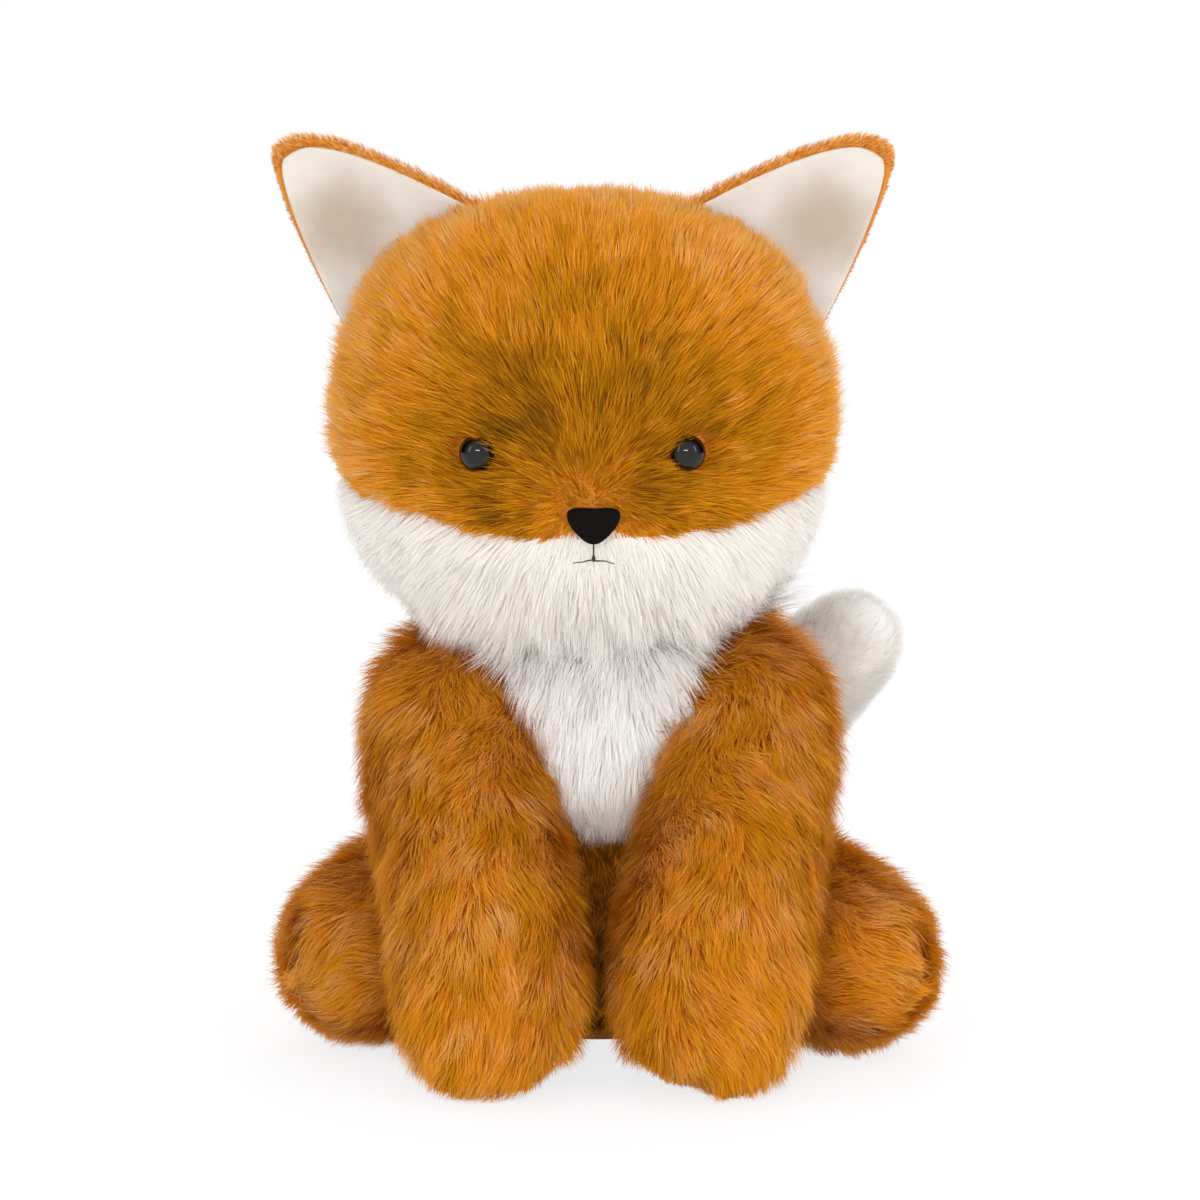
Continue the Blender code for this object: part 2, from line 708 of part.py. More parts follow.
def add_body(common, sockets, wells, looks):
    floor, room, neck = common
    roots = list(sockets.values())
    seat_hole = seat_mesh("seat_hole", GAP, -FLAT_DEPTH - OVERRUN, SKIN + OVERRUN)
    seat_hole = cutter("seat_hole", seat_hole)
    bib_hole = cutter("bib_hole", bib_mesh("bib_hole", GAP / 2))
    bib_shape = cutter("bib_shape", bib_mesh("bib_shape", -GAP / 2))

    skin = piece("body_skin", body_mesh("body_skin"), looks["fur"], None)
    skin_of(skin, BODY_CENTRE + Vector((0, 0, BODY_HALF.z)))
    combine(skin, [bib_hole, room, neck, seat_hole, floor, *wells, *roots])

    bib = piece("chest_bib", body_mesh("chest_bib"), looks["white"], None)
    skin_of(bib, BODY_CENTRE + Vector((0, 0, BODY_HALF.z)))
    combine(bib, [room, neck, *wells, sockets["left_arm"], sockets["right_arm"]])
    combine(bib, [bib_shape], "INTERSECT")

    seat = piece("seat_panel", seat_mesh("seat_panel", 0, 0, SEAT_THICK), looks["backing"], None)
    edge = seat.modifiers.new("Edge", "BEVEL")
    edge.width = SEAT_EDGE
    edge.segments = 2
    edge.limit_method = "ANGLE"
    combine(seat, [sockets["left_leg"], sockets["right_leg"], sockets["tail"]])

    mesh = bag_mesh("pellet_bag", 0)
    bag = piece("pellet_bag", mesh, looks["cloth"], None)
    smooth_cage(bag)
    combine(bag, [sockets["left_leg"], sockets["right_leg"], sockets["tail"]])
    pocket = cutter("bag_pocket", bag_mesh("bag_pocket", STUFFING_GAP))
    smooth_cage(pocket)

    above = cutter("above_seat", seat_mesh("above_seat", GAP, -OVERRUN, SEAT_THICK + GAP))
    mesh = body_mesh("body_stuffing", -SKIN - STUFFING_GAP, cage=False)
    stuffing = piece("body_stuffing", mesh, looks["stuffing"], None)
    under = cutter("under_bag", under_bag_mesh("under_bag"))
    combine(stuffing, [room, pocket, above, under, *roots])


def add_head(hanger, common, looks):
    """The crown and muzzle skins, parted at the face seam, and the stuffing inside.

    The seam lies in one plane, which falls towards the nose.
    """
    seam = NECK_PIVOT + Vector((0, 0, FACE_SEAM_LEVEL))
    wide = Vector((HEAD_WIDTH, HEAD_DEPTH, 0))
    deep = Vector((0, 0, HEAD_HEIGHT))
    half_gap = Vector((0, 0, GAP / 2))
    under = cutter("under_seam", box_mesh("under_seam", -wide - deep, wide + half_gap), seam)
    over = cutter("over_seam", box_mesh("over_seam", -wide - half_gap, wide + deep), seam)
    crown = piece("head_crown_skin", head_mesh("head_crown_skin"), looks["fur"], hanger)
    muzzle = piece("head_muzzle_skin", head_mesh("head_muzzle_skin"), looks["white"], hanger)
    for skin, cut in ((crown, under), (muzzle, over)):
        cut.rotation_euler.x = FACE_SEAM_TILT
        skin_of(skin, NECK_PIVOT)
        combine(skin, [cut])
    combine(muzzle, [common[2]])
    mesh = head_mesh("head_stuffing", -SKIN - STUFFING_GAP, cage=False)
    stuffing = piece("head_stuffing", mesh, looks["stuffing"], hanger)
    return crown, muzzle, stuffing


def button_profile(radius, dome):
    """A domed button with its shank, from the dome's top down to the shank's end."""
    turns = [i / DOME_POINTS * math.pi / 2 for i in range(DOME_POINTS + 1)]
    points = [(radius * math.sin(turn), dome * math.cos(turn)) for turn in turns]
    points[0] = (0, dome)
    points += [(SHANK_RADIUS, 0), (SHANK_RADIUS, -SHANK_LENGTH), (0, -SHANK_LENGTH)]
    return points


def washer_at(name, place, direction, looks, hanger):
    """A lock washer on a shank, just inside the skin."""
    half = WASHER_THICK / 2
    hole = SHANK_RADIUS + GAP
    profile = [(hole, half), (WASHER_RADIUS, half), (WASHER_RADIUS, -half), (hole, -half)]
    mesh = profile_mesh(name, profile, closed=True)
    washer = piece(name, mesh, looks["washer"], hanger)
    turned_piece(washer)
    depth = SKIN + WASHER_THICK / 2 + WASHER_SEAT
    washer.location = place - direction * depth - hanger.location
    washer.rotation_euler = direction.to_track_quat("Z", "Y").to_euler()


def bore_for(name, place, direction, radius, deep, proud):
    """A round cutter that goes straight into the face."""
    mesh = cylinder_mesh(name, radius, place - direction * deep, place + direction * proud)
    return cutter(name, mesh)


def add_eyes(hanger, head, tree, looks):
    crown, _, stuffing = head
    for side, sign in SIDES.items():
        level = NECK_HEIGHT + EYE_LEVEL
        across = HEAD_CENTRE.x + sign * EYE_OUT
        place = head_front(tree, across, level)
        facing = face_direction(tree, across, level)
        mesh = profile_mesh(f"{side}_eye", button_profile(EYE_RADIUS, EYE_DOME))
        eye = piece(f"{side}_eye", mesh, looks["eye"], hanger)
        turned_piece(eye)
        eye.location = place - facing * EYE_SUNK - hanger.location
        eye.rotation_euler = facing.to_track_quat("Z", "Y").to_euler()
        washer_at(f"{side}_eye_washer", place, facing, looks, hanger)
        deep = SHANK_LENGTH + EYE_SUNK + GAP * 2
        names = (f"{side}_eye_seat", f"{side}_eye_bore", f"{side}_washer_room")
        seat = bore_for(names[0], place, facing, EYE_RADIUS + GAP, EYE_SUNK + GAP, OVERRUN)
        bore = bore_for(names[1], place, facing, SHANK_RADIUS + GAP, deep, OVERRUN)
        room = bore_for(names[2], place, facing, WASHER_RADIUS + GAP * 2, deep, 0)
        combine(crown, [seat, bore])
        combine(stuffing, [room])


def nose_mesh(name, place, facing, pivot, grow):
    """A rounded triangle, wide above and narrow below, that looks along the face."""
    bm = bmesh.new()
    bmesh.ops.create_cube(bm, size=2)
    half = Vector((NOSE_CAGE_WIDTH, NOSE_CAGE_HEIGHT, NOSE_CAGE_DEPTH)) / 2
    for vert in bm.verts:
        x, y, z = vert.co
        narrow = NOSE_FOOT_SHARE if y < 0 else 1
        vert.co = Vector((x * half.x * narrow, y * half.y, z * half.z))
    for vert in bm.verts:
        vert.co += vert.co.normalized() * grow
    turn = facing.to_track_quat("Z", "Y").to_matrix().to_4x4()
    bm.transform(Matrix.Translation(place) @ turn)
    return finish_mesh(bm, name, pivot)


def add_nose(hanger, head, tree, looks):
    crown, muzzle, stuffing = head
    level = NECK_HEIGHT + NOSE_LEVEL
    place = head_front(tree, HEAD_CENTRE.x + NOSE_ASIDE, level)
    facing = Vector((0, -1, 0))
    middle = place - facing * NOSE_SUNK
    nose = piece("nose", nose_mesh("nose", middle, facing, hanger.location, 0), looks["nose"], hanger)
    smooth_cage(nose, 2)
    end = middle - facing * SHANK_LENGTH
    shank = cutter("nose_shank", cylinder_mesh("nose_shank", SHANK_RADIUS, end, middle))
    combine(nose, [shank], "UNION")
    washer_at("nose_washer", place, facing, looks, hanger)
    seat = cutter("nose_seat", nose_mesh("nose_seat", middle, facing, Vector(), GAP * 2))
    smooth_cage(seat, 2)
    deep = SHANK_LENGTH + NOSE_SUNK + GAP * 2
    bore = bore_for("nose_bore", place, facing, SHANK_RADIUS + GAP, deep, OVERRUN)
    room = bore_for("nose_washer_room", place, facing, WASHER_RADIUS + GAP * 2, deep, 0)
    start = SKIN + WASHER_SEAT - GAP
    behind = bore_for("behind_nose", place, facing, WASHER_RADIUS + GAP, deep, -start)
    combine(crown, [seat, bore, behind])
    combine(muzzle, [seat, bore, behind])
    combine(stuffing, [room])


def lengthened(points, by):
    """The same line of places, with this much more at each end."""
    first = points[0] + (points[0] - points[1]).normalized() * by
    last = points[-1] + (points[-1] - points[-2]).normalized() * by
    return [first, *points[1:-1], last]


def add_mouth(hanger, skins, tree, looks):
    """The mouth's thread: one stitch down from the nose, and one that droops to either side."""
    top = NECK_HEIGHT + NOSE_LEVEL - NOSE_FOOT - THREAD_RADIUS - GAP * 2
    foot = top - MOUTH_DROP
    middle = HEAD_CENTRE.x + NOSE_ASIDE
    upright = []
    for i in range(MOUTH_ROWS + 1):
        upright.append(head_front(tree, middle, top - MOUTH_DROP * i / MOUTH_ROWS))
    across = []
    for i in range(-MOUTH_ROWS, MOUTH_ROWS + 1):
        share = i / MOUTH_ROWS
        sag = MOUTH_SAG * share**2
        across.append(head_front(tree, middle + share * MOUTH_HALF, foot - sag))
    pivot = hanger.location
    thread = tube_mesh("mouth_stitching", across, THREAD_RADIUS, pivot)
    thread = piece("mouth_stitching", thread, looks["thread"], hanger)
    riser = cutter("mouth_riser", tube_mesh("mouth_riser", upright, THREAD_RADIUS, Vector()))
    combine(thread, [riser], "UNION")
    for name, line in (("upright_groove", upright), ("across_groove", across)):
        line = lengthened(line, GAP)
        groove = cutter(name, tube_mesh(name, line, THREAD_RADIUS + GAP, Vector()))
        for skin in skins:
            combine(skin, [groove])


def ear_mesh(name, sign, pivot, inset, back):
    """The middle sheet of an ear's layer, cupped forwards, this far in from the ear's rim."""
    root = HEAD_CENTRE + Vector((sign * EAR_ROOT_OUT, EAR_ROOT_BACK, EAR_ROOT_UP))
    along = Vector((sign * math.sin(EAR_TURN), 0, math.cos(EAR_TURN)))
    aside = Vector((along.z, 0, -along.x))
    length = EAR_LENGTH - inset * 2
    tuck = EAR_TUCK / length
    bm = bmesh.new()
    bmesh.ops.create_grid(bm, x_segments=4, y_segments=4, size=1)
    for vert in bm.verts:
        across = vert.co.x
        share = (vert.co.y + 1) / 2
        half = (EAR_WIDTH / 2 - inset) * (1 - share) ** EAR_ROUND_POWER
        rise = share * (1 + tuck) - tuck
        cup = EAR_CUP * (across**2 * (half / (EAR_WIDTH / 2)) - share)
        place = root + along * rise * length + aside * across * half
        vert.co = place + Vector((0, back - cup, 0))
    bmesh.ops.remove_doubles(bm, verts=bm.verts, dist=GAP / 10)
    return finish_mesh(bm, name, pivot)


def thicken(thing, thickness):
    step = thing.modifiers.new("Fabric", "SOLIDIFY")
    step.thickness = thickness
    step.offset = 0
    smooth_cage(thing)


def add_ears(hanger, looks):
    room = cutter("head_space", head_mesh("head_space", GAP), NECK_PIVOT)
    smooth_cage(room)
    for side, sign in SIDES.items():
        pivot = hanger.location
        name = f"{side}_ear_back"
        back = piece(name, ear_mesh(name, sign, pivot, 0, 0), looks["ear_back"], hanger)
        thicken(back, EAR_PLUSH)
        forward = -(EAR_PLUSH - EAR_LINING) / 2 - GAP
        name = f"{side}_ear_lining"
        lining = piece(name, ear_mesh(name, sign, pivot, EAR_RIM, forward), looks["lining"], hanger)
        thicken(lining, EAR_LINING)
        name = f"{side}_lining_seat"
        seat = cutter(name, ear_mesh(name, sign, Vector(), EAR_RIM - GAP * 2, forward))
        thicken(seat, EAR_LINING + GAP * 4)
        combine(back, [seat, room])
        combine(lining, [room])


def looks_of_the_toy():
    return {
        "fur": material("orange long-pile plush", (183, 112, 26), 0.9),
        "white": material("white long-pile plush", (236, 228, 219), 0.9),
        "white_short": material("white short-pile plush", (233, 225, 215), 0.85),
        "ear_back": material("orange short-pile plush", (197, 128, 50), 0.85),
        "lining": material("off-white ear velour", (222, 206, 190), 0.8),
        "backing": material("brown base cloth", (150, 90, 30), 0.85),
        "eye": material("black polished safety eye", (8, 7, 7), 0.08),
        "nose": material("black flocked nose", (22, 17, 16), 0.75),
        "thread": material("black embroidery thread", (30, 22, 20), 0.6),
        "washer": material("white nylon washer", (225, 225, 222), 0.4),
        "stuffing": material("white polyester stuffing", (240, 240, 238), 0.95),
        "cloth": material("grey cotton bag", (170, 170, 165), 0.9),
    }


def main():
    looks = looks_of_the_toy()
    common = common_cutters()
    found = limbs()
    sockets = limb_sockets(found)
    add_body(common, sockets, shoulder_wells(found), looks)

    neck = empty_at("neck_pivot", NECK_PIVOT)
    head = add_head(neck, common, looks)
    tree = head_tree()
    add_eyes(neck, head, tree, looks)
    add_nose(neck, head, tree, looks)
    add_mouth(neck, head[:2], tree, looks)
    add_ears(neck, looks)

    floor, room, _ = common
    for name, limb in found.items():
        hanger = empty_at(f"{name}_pivot", limb["spine"][0])
        cuts = [inside_body_skin(), *body_rooms(name, limb)]
        if name != "tail":
            cuts.append(floor)
        if name.endswith("arm"):
            cuts.append(room)
        if name.endswith("leg"):
            cuts.append(arm_room(name.replace("leg", "arm"), found))
        skin = add_limb(name, limb, hanger, cuts, looks)
        if name == "tail":
            add_tail_tip(limb, skin, hanger, looks)


clear_scene()
PARTS = new_collection("plush_fox")
CUTTERS = new_collection("cutters")
main()
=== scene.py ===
"""A sitting plush fox, 24 cm tall: long pile combed over its sewn forms, and glossy eyes.

Metres, +Z up. The fox faces -Y, and its own left side is at +X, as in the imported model. Each sewn
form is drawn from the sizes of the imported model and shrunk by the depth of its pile. The pile
grows back out of it, strand by strand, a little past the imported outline.
"""

import math
from dataclasses import dataclass

import bmesh
import bpy
import numpy as np
from mathutils import Matrix, Vector
from mathutils.bvhtree import BVHTree
from mathutils.kdtree import KDTree


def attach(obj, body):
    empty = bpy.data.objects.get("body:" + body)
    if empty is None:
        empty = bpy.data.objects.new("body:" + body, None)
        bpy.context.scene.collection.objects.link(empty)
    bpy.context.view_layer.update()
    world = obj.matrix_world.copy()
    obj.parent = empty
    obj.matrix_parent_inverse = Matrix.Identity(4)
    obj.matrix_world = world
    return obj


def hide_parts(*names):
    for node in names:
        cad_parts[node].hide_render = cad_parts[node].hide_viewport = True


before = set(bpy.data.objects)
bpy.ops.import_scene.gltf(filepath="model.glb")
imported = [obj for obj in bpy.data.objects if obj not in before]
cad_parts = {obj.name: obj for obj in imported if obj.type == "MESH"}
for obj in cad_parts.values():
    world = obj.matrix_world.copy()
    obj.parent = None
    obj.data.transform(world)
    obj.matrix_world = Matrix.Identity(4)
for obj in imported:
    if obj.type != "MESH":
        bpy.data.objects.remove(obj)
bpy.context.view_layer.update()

bl_info = {
    "name": "Plush fox",
    "version": (1, 0, 0),
    "blender": (4, 5, 0),
    "location": "3D View > Sidebar > Plush fox",
    "description": "Dresses the packed fox in long pile, eyes, nose, ears and seams",
    "category": "Object",
}

MM = 0.001
SIDES = {"left": 1, "right": -1}

# The sewn forms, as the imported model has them
HEAD_SIZE = Vector((132, 114, 117)) * MM
HEAD_CENTRE = Vector((-4.4, -2, 167)) * MM
HEAD_CHEEKS = 0.045
HEAD_POWERS = (2.2, 2.7)
HEAD_CROWN_POWER = 2.4
MUZZLE_SWELL = 9 * MM
MUZZLE_SPREAD = 27 * MM
MUZZLE_HEIGHT = 145.5 * MM
NECK_PIVOT = Vector((-4.4, -2, 108.5)) * MM
SEAM_HEIGHT = 147.5 * MM
SEAM_TILT = math.radians(7)
BODY_SIZE = Vector((112, 88, 129)) * MM
BODY_CENTRE = Vector((0, 8, 64)) * MM
BODY_POWERS = (2.2, 3.0)
BIB_HALF = Vector((50, 0, 36.5)) * MM
BIB_TAPER = 0.65
BIB_FOOT = -0.8
BIB_MIDDLE = 89.5 * MM
EAR_ROOT = Vector((48, 3, 40)) * MM
EAR_LENGTH = 44.5 * MM
EAR_WIDTH = 50 * MM
EAR_TURN = math.radians(50)
EAR_CUP = 5 * MM
EAR_TUCK = 8 * MM
EAR_INNER = (26.6 * MM, 0.45)
EAR_OUTER = (26.6 * MM, 0.72)
EYE_OUT = 26.8 * MM
EYE_HEIGHT = 162.5 * MM
NOSE_ASIDE = 2.8 * MM
NOSE_HEIGHT = 145 * MM
LIMB_SIDES = 8
LIMB_SEEDS = {"left_arm": 54, "left_leg": 61, "right_arm": 71, "right_leg": 81}
TAIL_SEAM = 0.53
TAIL_DEPTH = 2.6 * MM
SEAT_HALF = (25.5 * MM, 27.5 * MM)
SEAT_BACK = 14 * MM
MOUTH_DROP = 4.9 * MM
MOUTH_HALF = 5.2 * MM
THREAD = 0.2 * MM

# The strands, and what is pile and what is hard
STRAND_STEPS = 3
MOST_STRANDS = 38000
PILE_LOOKS = {
    "orange_long_pile": "Orange acrylic long pile",
    "white_long_pile": "White acrylic long pile",
    "white_short_pile": "White polyester short pile",
    "orange_short_pile": "Orange polyester short pile",
}

# The stage: each lamp's place, size, power, and whether gloss mirrors it
LAMPS = {
    "key_softbox": ((-0.1, -1.35, 0.7), (0.6, 0.09), 4.4, True),
    "fill_softbox": ((0.9, -1.1, 0.4), (0.8, 0.9), 4.5, False),
    "low_softbox": ((-0.2, -1.5, 0.02), (1.0, 0.5), 7.0, False),
    "back_softbox": ((0.2, 1.1, 1.2), (0.8, 0.8), 6.0, False),
    "left_strip": ((-1.3, -0.9, 0.9), (0.08, 0.9), 2.4, True),
    "right_strip": ((1.3, -0.9, 0.9), (0.08, 0.9), 2.4, True),
}
CAMERA_AIM = Vector((0, -0.010, 0.115))
CAMERA_DIP = math.radians(9)
CAMERA_DISTANCE = 1.2
FLOOR_REACH = 6.0

# The sewn forms that are drawn so far, shared by the operators
FORMS = {}


def linear(code):
    """The linear red, green and blue of an sRGB hex code."""
    shades = [int(code[i : i + 2], 16) / 255 for i in (1, 3, 5)]
    return tuple(s / 12.92 if s <= 0.04045 else ((s + 0.055) / 1.055) ** 2.4 for s in shades)


def length_prop(name, description, default):
    return bpy.props.FloatProperty(
        name=name, description=description, default=default, min=0, unit="LENGTH"
    )


def colour_prop(name, description, code):
    return bpy.props.FloatVectorProperty(
        name=name, description=description, default=linear(code), size=3, subtype="COLOR"
    )


class FoxSizes(bpy.types.PropertyGroup):
    """Lengths of pile and the sizes of the small fittings."""

    head_pile: length_prop("Head pile", "Length of the strands on the crown", 10.5 * MM)
    muzzle_pile: length_prop("Muzzle pile", "Length of the white strands of the face", 10 * MM)
    body_pile: length_prop("Body pile", "Length of the strands on the body", 11 * MM)
    bib_pile: length_prop("Bib pile", "Length of the white strands on the chest", 13 * MM)
    limb_pile: length_prop("Limb pile", "Length of the strands on arms and legs", 11.2 * MM)
    tip_pile: length_prop("Tail tip pile", "Length of the short strands of the tail's tip", 4 * MM)
    ear_pile: length_prop("Ear pile", "Length of the short strands on the ears' backs", 2.4 * MM)
    pile_depth: length_prop("Pile depth", "From the packed outline down to the backing", 4 * MM)
    strand: length_prop("Strand width", "Width of a drawn strand, a few real fibres", 0.21 * MM)
    eye: length_prop("Eye radius", "Radius of a safety eye", 4.7 * MM)


class FoxColours(bpy.types.PropertyGroup):
    """Colours of the piles and fittings."""

    orange: colour_prop("Orange pile", "Middle tone of the orange pile", "#E89E18")
    # The palest orange also stands in for light: a painted sheen on the tips at the crown's outline
    orange_pale_sheen: colour_prop("Pale orange", "Palest strands of the orange pile", "#EBC68E")
    orange_root: colour_prop("Orange roots", "Roots of the orange pile", "#C6760E")
    white: colour_prop("White pile", "Middle tone of the white pile", "#FDFAF6")
    white_root: colour_prop("White roots", "Roots of the white pile", "#FAF5EF")
    ear: colour_prop("Ear lining", "Velour that lines the ears", "#CBC3BB")
    # Painted shade: the darker velour colour of the ear's hollow stands in for the shade in its cup
    ear_hollow_shade: colour_prop("Ear hollow", "The velour brushed down in the ear's hollow", "#A99988")
    eye: colour_prop("Eye", "Polished plastic of the eyes", "#060505")
    nose: colour_prop("Nose", "Flock of the nose", "#100C0B")


def sizes():
    return bpy.context.scene.fox_sizes


def colours():
    return bpy.context.scene.fox_colours


def fill(tree, made, inputs):
    """Sets or links a node's inputs, from (socket, value or output to link) pairs."""
    for socket, value in inputs:
        if isinstance(value, bpy.types.NodeSocket):
            tree.links.new(value, made.inputs[socket])
        else:
            made.inputs[socket].default_value = value


def node(tree, kind, inputs=(), **settings):
    """Adds a node with these settings and inputs."""
    made = tree.nodes.new(f"ShaderNode{kind}")
    for name, value in settings.items():
        setattr(made, name, value)
    fill(tree, made, inputs)
    return made


def calculated(tree, operation, one, other, clamp=False):
    made = node(tree, "Math", [(0, one), (1, other)], operation=operation, use_clamp=clamp)
    return made.outputs["Value"]


def map_range(tree, value, low, high, to=(0, 1), kind="LINEAR"):
    """A value moved from one range to another."""
    rows = [("Value", value), ("From Min", low), ("From Max", high)]
    rows += [("To Min", to[0]), ("To Max", to[1])]
    return node(tree, "MapRange", rows, interpolation_type=kind).outputs["Result"]


def mixed_colour(tree, factor, one, other):
    rows = [("Factor", factor), ("A", one), ("B", other)]
    return node(tree, "Mix", rows, data_type="RGBA").outputs["Result"]


def mix_shaders(tree, factor, one, other, end):
    """Mixes two shaders' outputs at the end of a material or a world."""
    both = node(tree, "MixShader", [(0, factor), (1, one.outputs[0]), (2, other.outputs[0])])
    tree.links.new(both.outputs["Shader"], tree.nodes[end].inputs["Surface"])


def noise(tree, scale, detail):
    place = node(tree, "TexCoord").outputs["Object"]
    rows = [("Vector", place), ("Scale", scale), ("Detail", detail)]
    return node(tree, "TexNoise", rows).outputs["Fac"]


def bands(tree, scale, way, bend=0.0):
    place = node(tree, "TexCoord").outputs["Object"]
    rows = [("Vector", place), ("Scale", scale), ("Distortion", bend)]
    return node(tree, "TexWave", rows, bands_direction=way).outputs["Fac"]


def bump(tree, height, strength, distance):
    rows = [("Strength", strength), ("Distance", distance), ("Height", height)]
    return node(tree, "Bump", rows).outputs["Normal"]


def new_material(name):
    made = bpy.data.materials.new(name)
    made.use_nodes = True
    return made, made.node_tree, made.node_tree.nodes["Principled BSDF"]


def ramp(tree, factor, stops):
    """A colour between these stops, each a place from 0 to 1 and its colour."""
    made = node(tree, "ValToRGB", [("Fac", factor)])
    band = made.color_ramp
    while len(band.elements) < len(stops):
        band.elements.new(0.5)
    for element, (place, colour) in zip(band.elements, stops):
        element.position = place
        element.color = (*colour, 1)
    return made.outputs["Color"]


def shade(colour, amount):
    """A colour made lighter (over 1) or darker (under 1)."""
    return tuple(min(1, c * amount) for c in colour)


def pile_material(name, tones, root, depth, roughness, let_through):
    """Acrylic pile: its map holds each strand's own tint across and its root to tip upwards.

    The tones run from the darkest strands to the palest, and the depth says how much darker the
    darkest roots are. Fine fibres let some light through.
    """
    made, tree, shader = new_material(name)
    place = node(tree, "UVMap", uv_map="OFBake").outputs["UV"]
    parts = node(tree, "SeparateXYZ", [("Vector", place)]).outputs
    tips = ramp(tree, parts["X"], list(zip((0, 0.2, 0.5, 1), tones)))
    roots = [(0, shade(root, depth)), (0.5, root), (1, shade(root, 2 - depth))]
    rise = map_range(tree, parts["Y"], 0.05, 0.7, kind="SMOOTHSTEP")
    colour = mixed_colour(tree, rise, ramp(tree, parts["X"], roots), tips)
    fill(tree, shader, [
        ("Base Color", colour), ("Roughness", roughness), ("Specular IOR Level", 0.04),
    ])
    through = node(tree, "BsdfTranslucent", [("Color", colour)])
    mix_shaders(tree, let_through, shader, through, "Material Output")
    return made


def cloth_material(name, colour, thread, roughness=0.9, sheen=0.2, contrast=0.25):
    """Woven or knitted cloth: a fine weave in bump and colour, at this spacing of threads."""
    made, tree, shader = new_material(name)
    weave = calculated(tree, "MULTIPLY", *(bands(tree, 1 / thread / 3.1, way) for way in "XZ"))
    worn = calculated(tree, "ADD", weave, noise(tree, 90, 6))
    stops = [(0.2, shade(colour, 1 - contrast)), (0.9, shade(colour, 1 + contrast / 3))]
    fill(tree, shader, [
        ("Base Color", ramp(tree, worn, stops)), ("Normal", bump(tree, weave, 0.5, thread / 3)),
        ("Roughness", roughness), ("Sheen Weight", sheen),
    ])
    return made


def velour_material(name):
    """Brushed polyester velour: a matt nap, darker in the ear's hollow as painted shade."""
    made = cloth_material(name, colours().ear, 0.5 * MM, 0.92, 0.15, 0.02)
    tree = made.node_tree
    shader = tree.nodes["Principled BSDF"]
    plain = shader.inputs["Base Color"].links[0].from_socket
    place = node(tree, "UVMap", uv_map="OFBake").outputs["UV"]
    smear = node(tree, "TexNoise", [("Vector", place), ("Scale", 5), ("Detail", 3)])
    moved = node(
        tree, "VectorMath", [(0, smear.outputs["Color"]), (1, (0.14, 0.14, 0)), (2, place)],
        operation="MULTIPLY_ADD",
    )
    middle = (0.62, 0.56, 0.07)
    apart = node(
        tree, "VectorMath", [(0, moved.outputs["Vector"]), (1, middle)], operation="DISTANCE"
    )
    hollow = map_range(tree, apart.outputs["Value"], 0.1, 0.36, kind="SMOOTHSTEP")
    # Painted shade in the ear's hollow
    painted_hollow_shade = (*colours().ear_hollow_shade, 1)
    fill(tree, shader, [("Base Color", mixed_colour(tree, hollow, painted_hollow_shade, plain))])
    return made


def polished_material(name):
    """Black ABS, moulded and polished: almost black, with a hard clear reflection."""
    made, tree, shader = new_material(name)
    fill(tree, shader, [
        ("Base Color", (*colours().eye, 1)), ("Roughness", 0.045), ("IOR", 1.45),
        ("Normal", bump(tree, noise(tree, 700, 3), 0.03, 0.05 * MM)),
    ])
    return made


def nylon_material(name):
    """Moulded nylon, milky and slightly waxy."""
    made, tree, shader = new_material(name)
    milk = ramp(tree, noise(tree, 400, 2), [(0.3, linear("#DCDCD6")), (0.7, linear("#E8E8E4"))])
    fill(tree, shader, [("Base Color", milk), ("Roughness", 0.45), ("IOR", 1.53)])
    return made


def flock_material(name):
    """Nylon flock blown onto glue: very matt, with a fine speckle of lighter and darker flock."""
    made, tree, shader = new_material(name)
    flock = noise(tree, 2600, 4)
    stops = [(0.35, shade(colours().nose, 0.5)), (0.7, shade(colours().nose, 1.6))]
    fill(tree, shader, [
        ("Base Color", ramp(tree, flock, stops)), ("Normal", bump(tree, flock, 0.7, 0.25 * MM)),
        ("Roughness", 0.95), ("Specular IOR Level", 0.08),
    ])
    return made


def thread_material(name):
    """Twisted embroidery thread: black with a soft shine along its twist."""
    made, tree, shader = new_material(name)
    twist = bands(tree, 900, "DIAGONAL", 1.5)
    black = ramp(tree, twist, [(0.2, linear("#0E0A09")), (0.8, linear("#2C211F"))])
    fill(tree, shader, [("Base Color", black), ("Roughness", 0.55)])
    return made


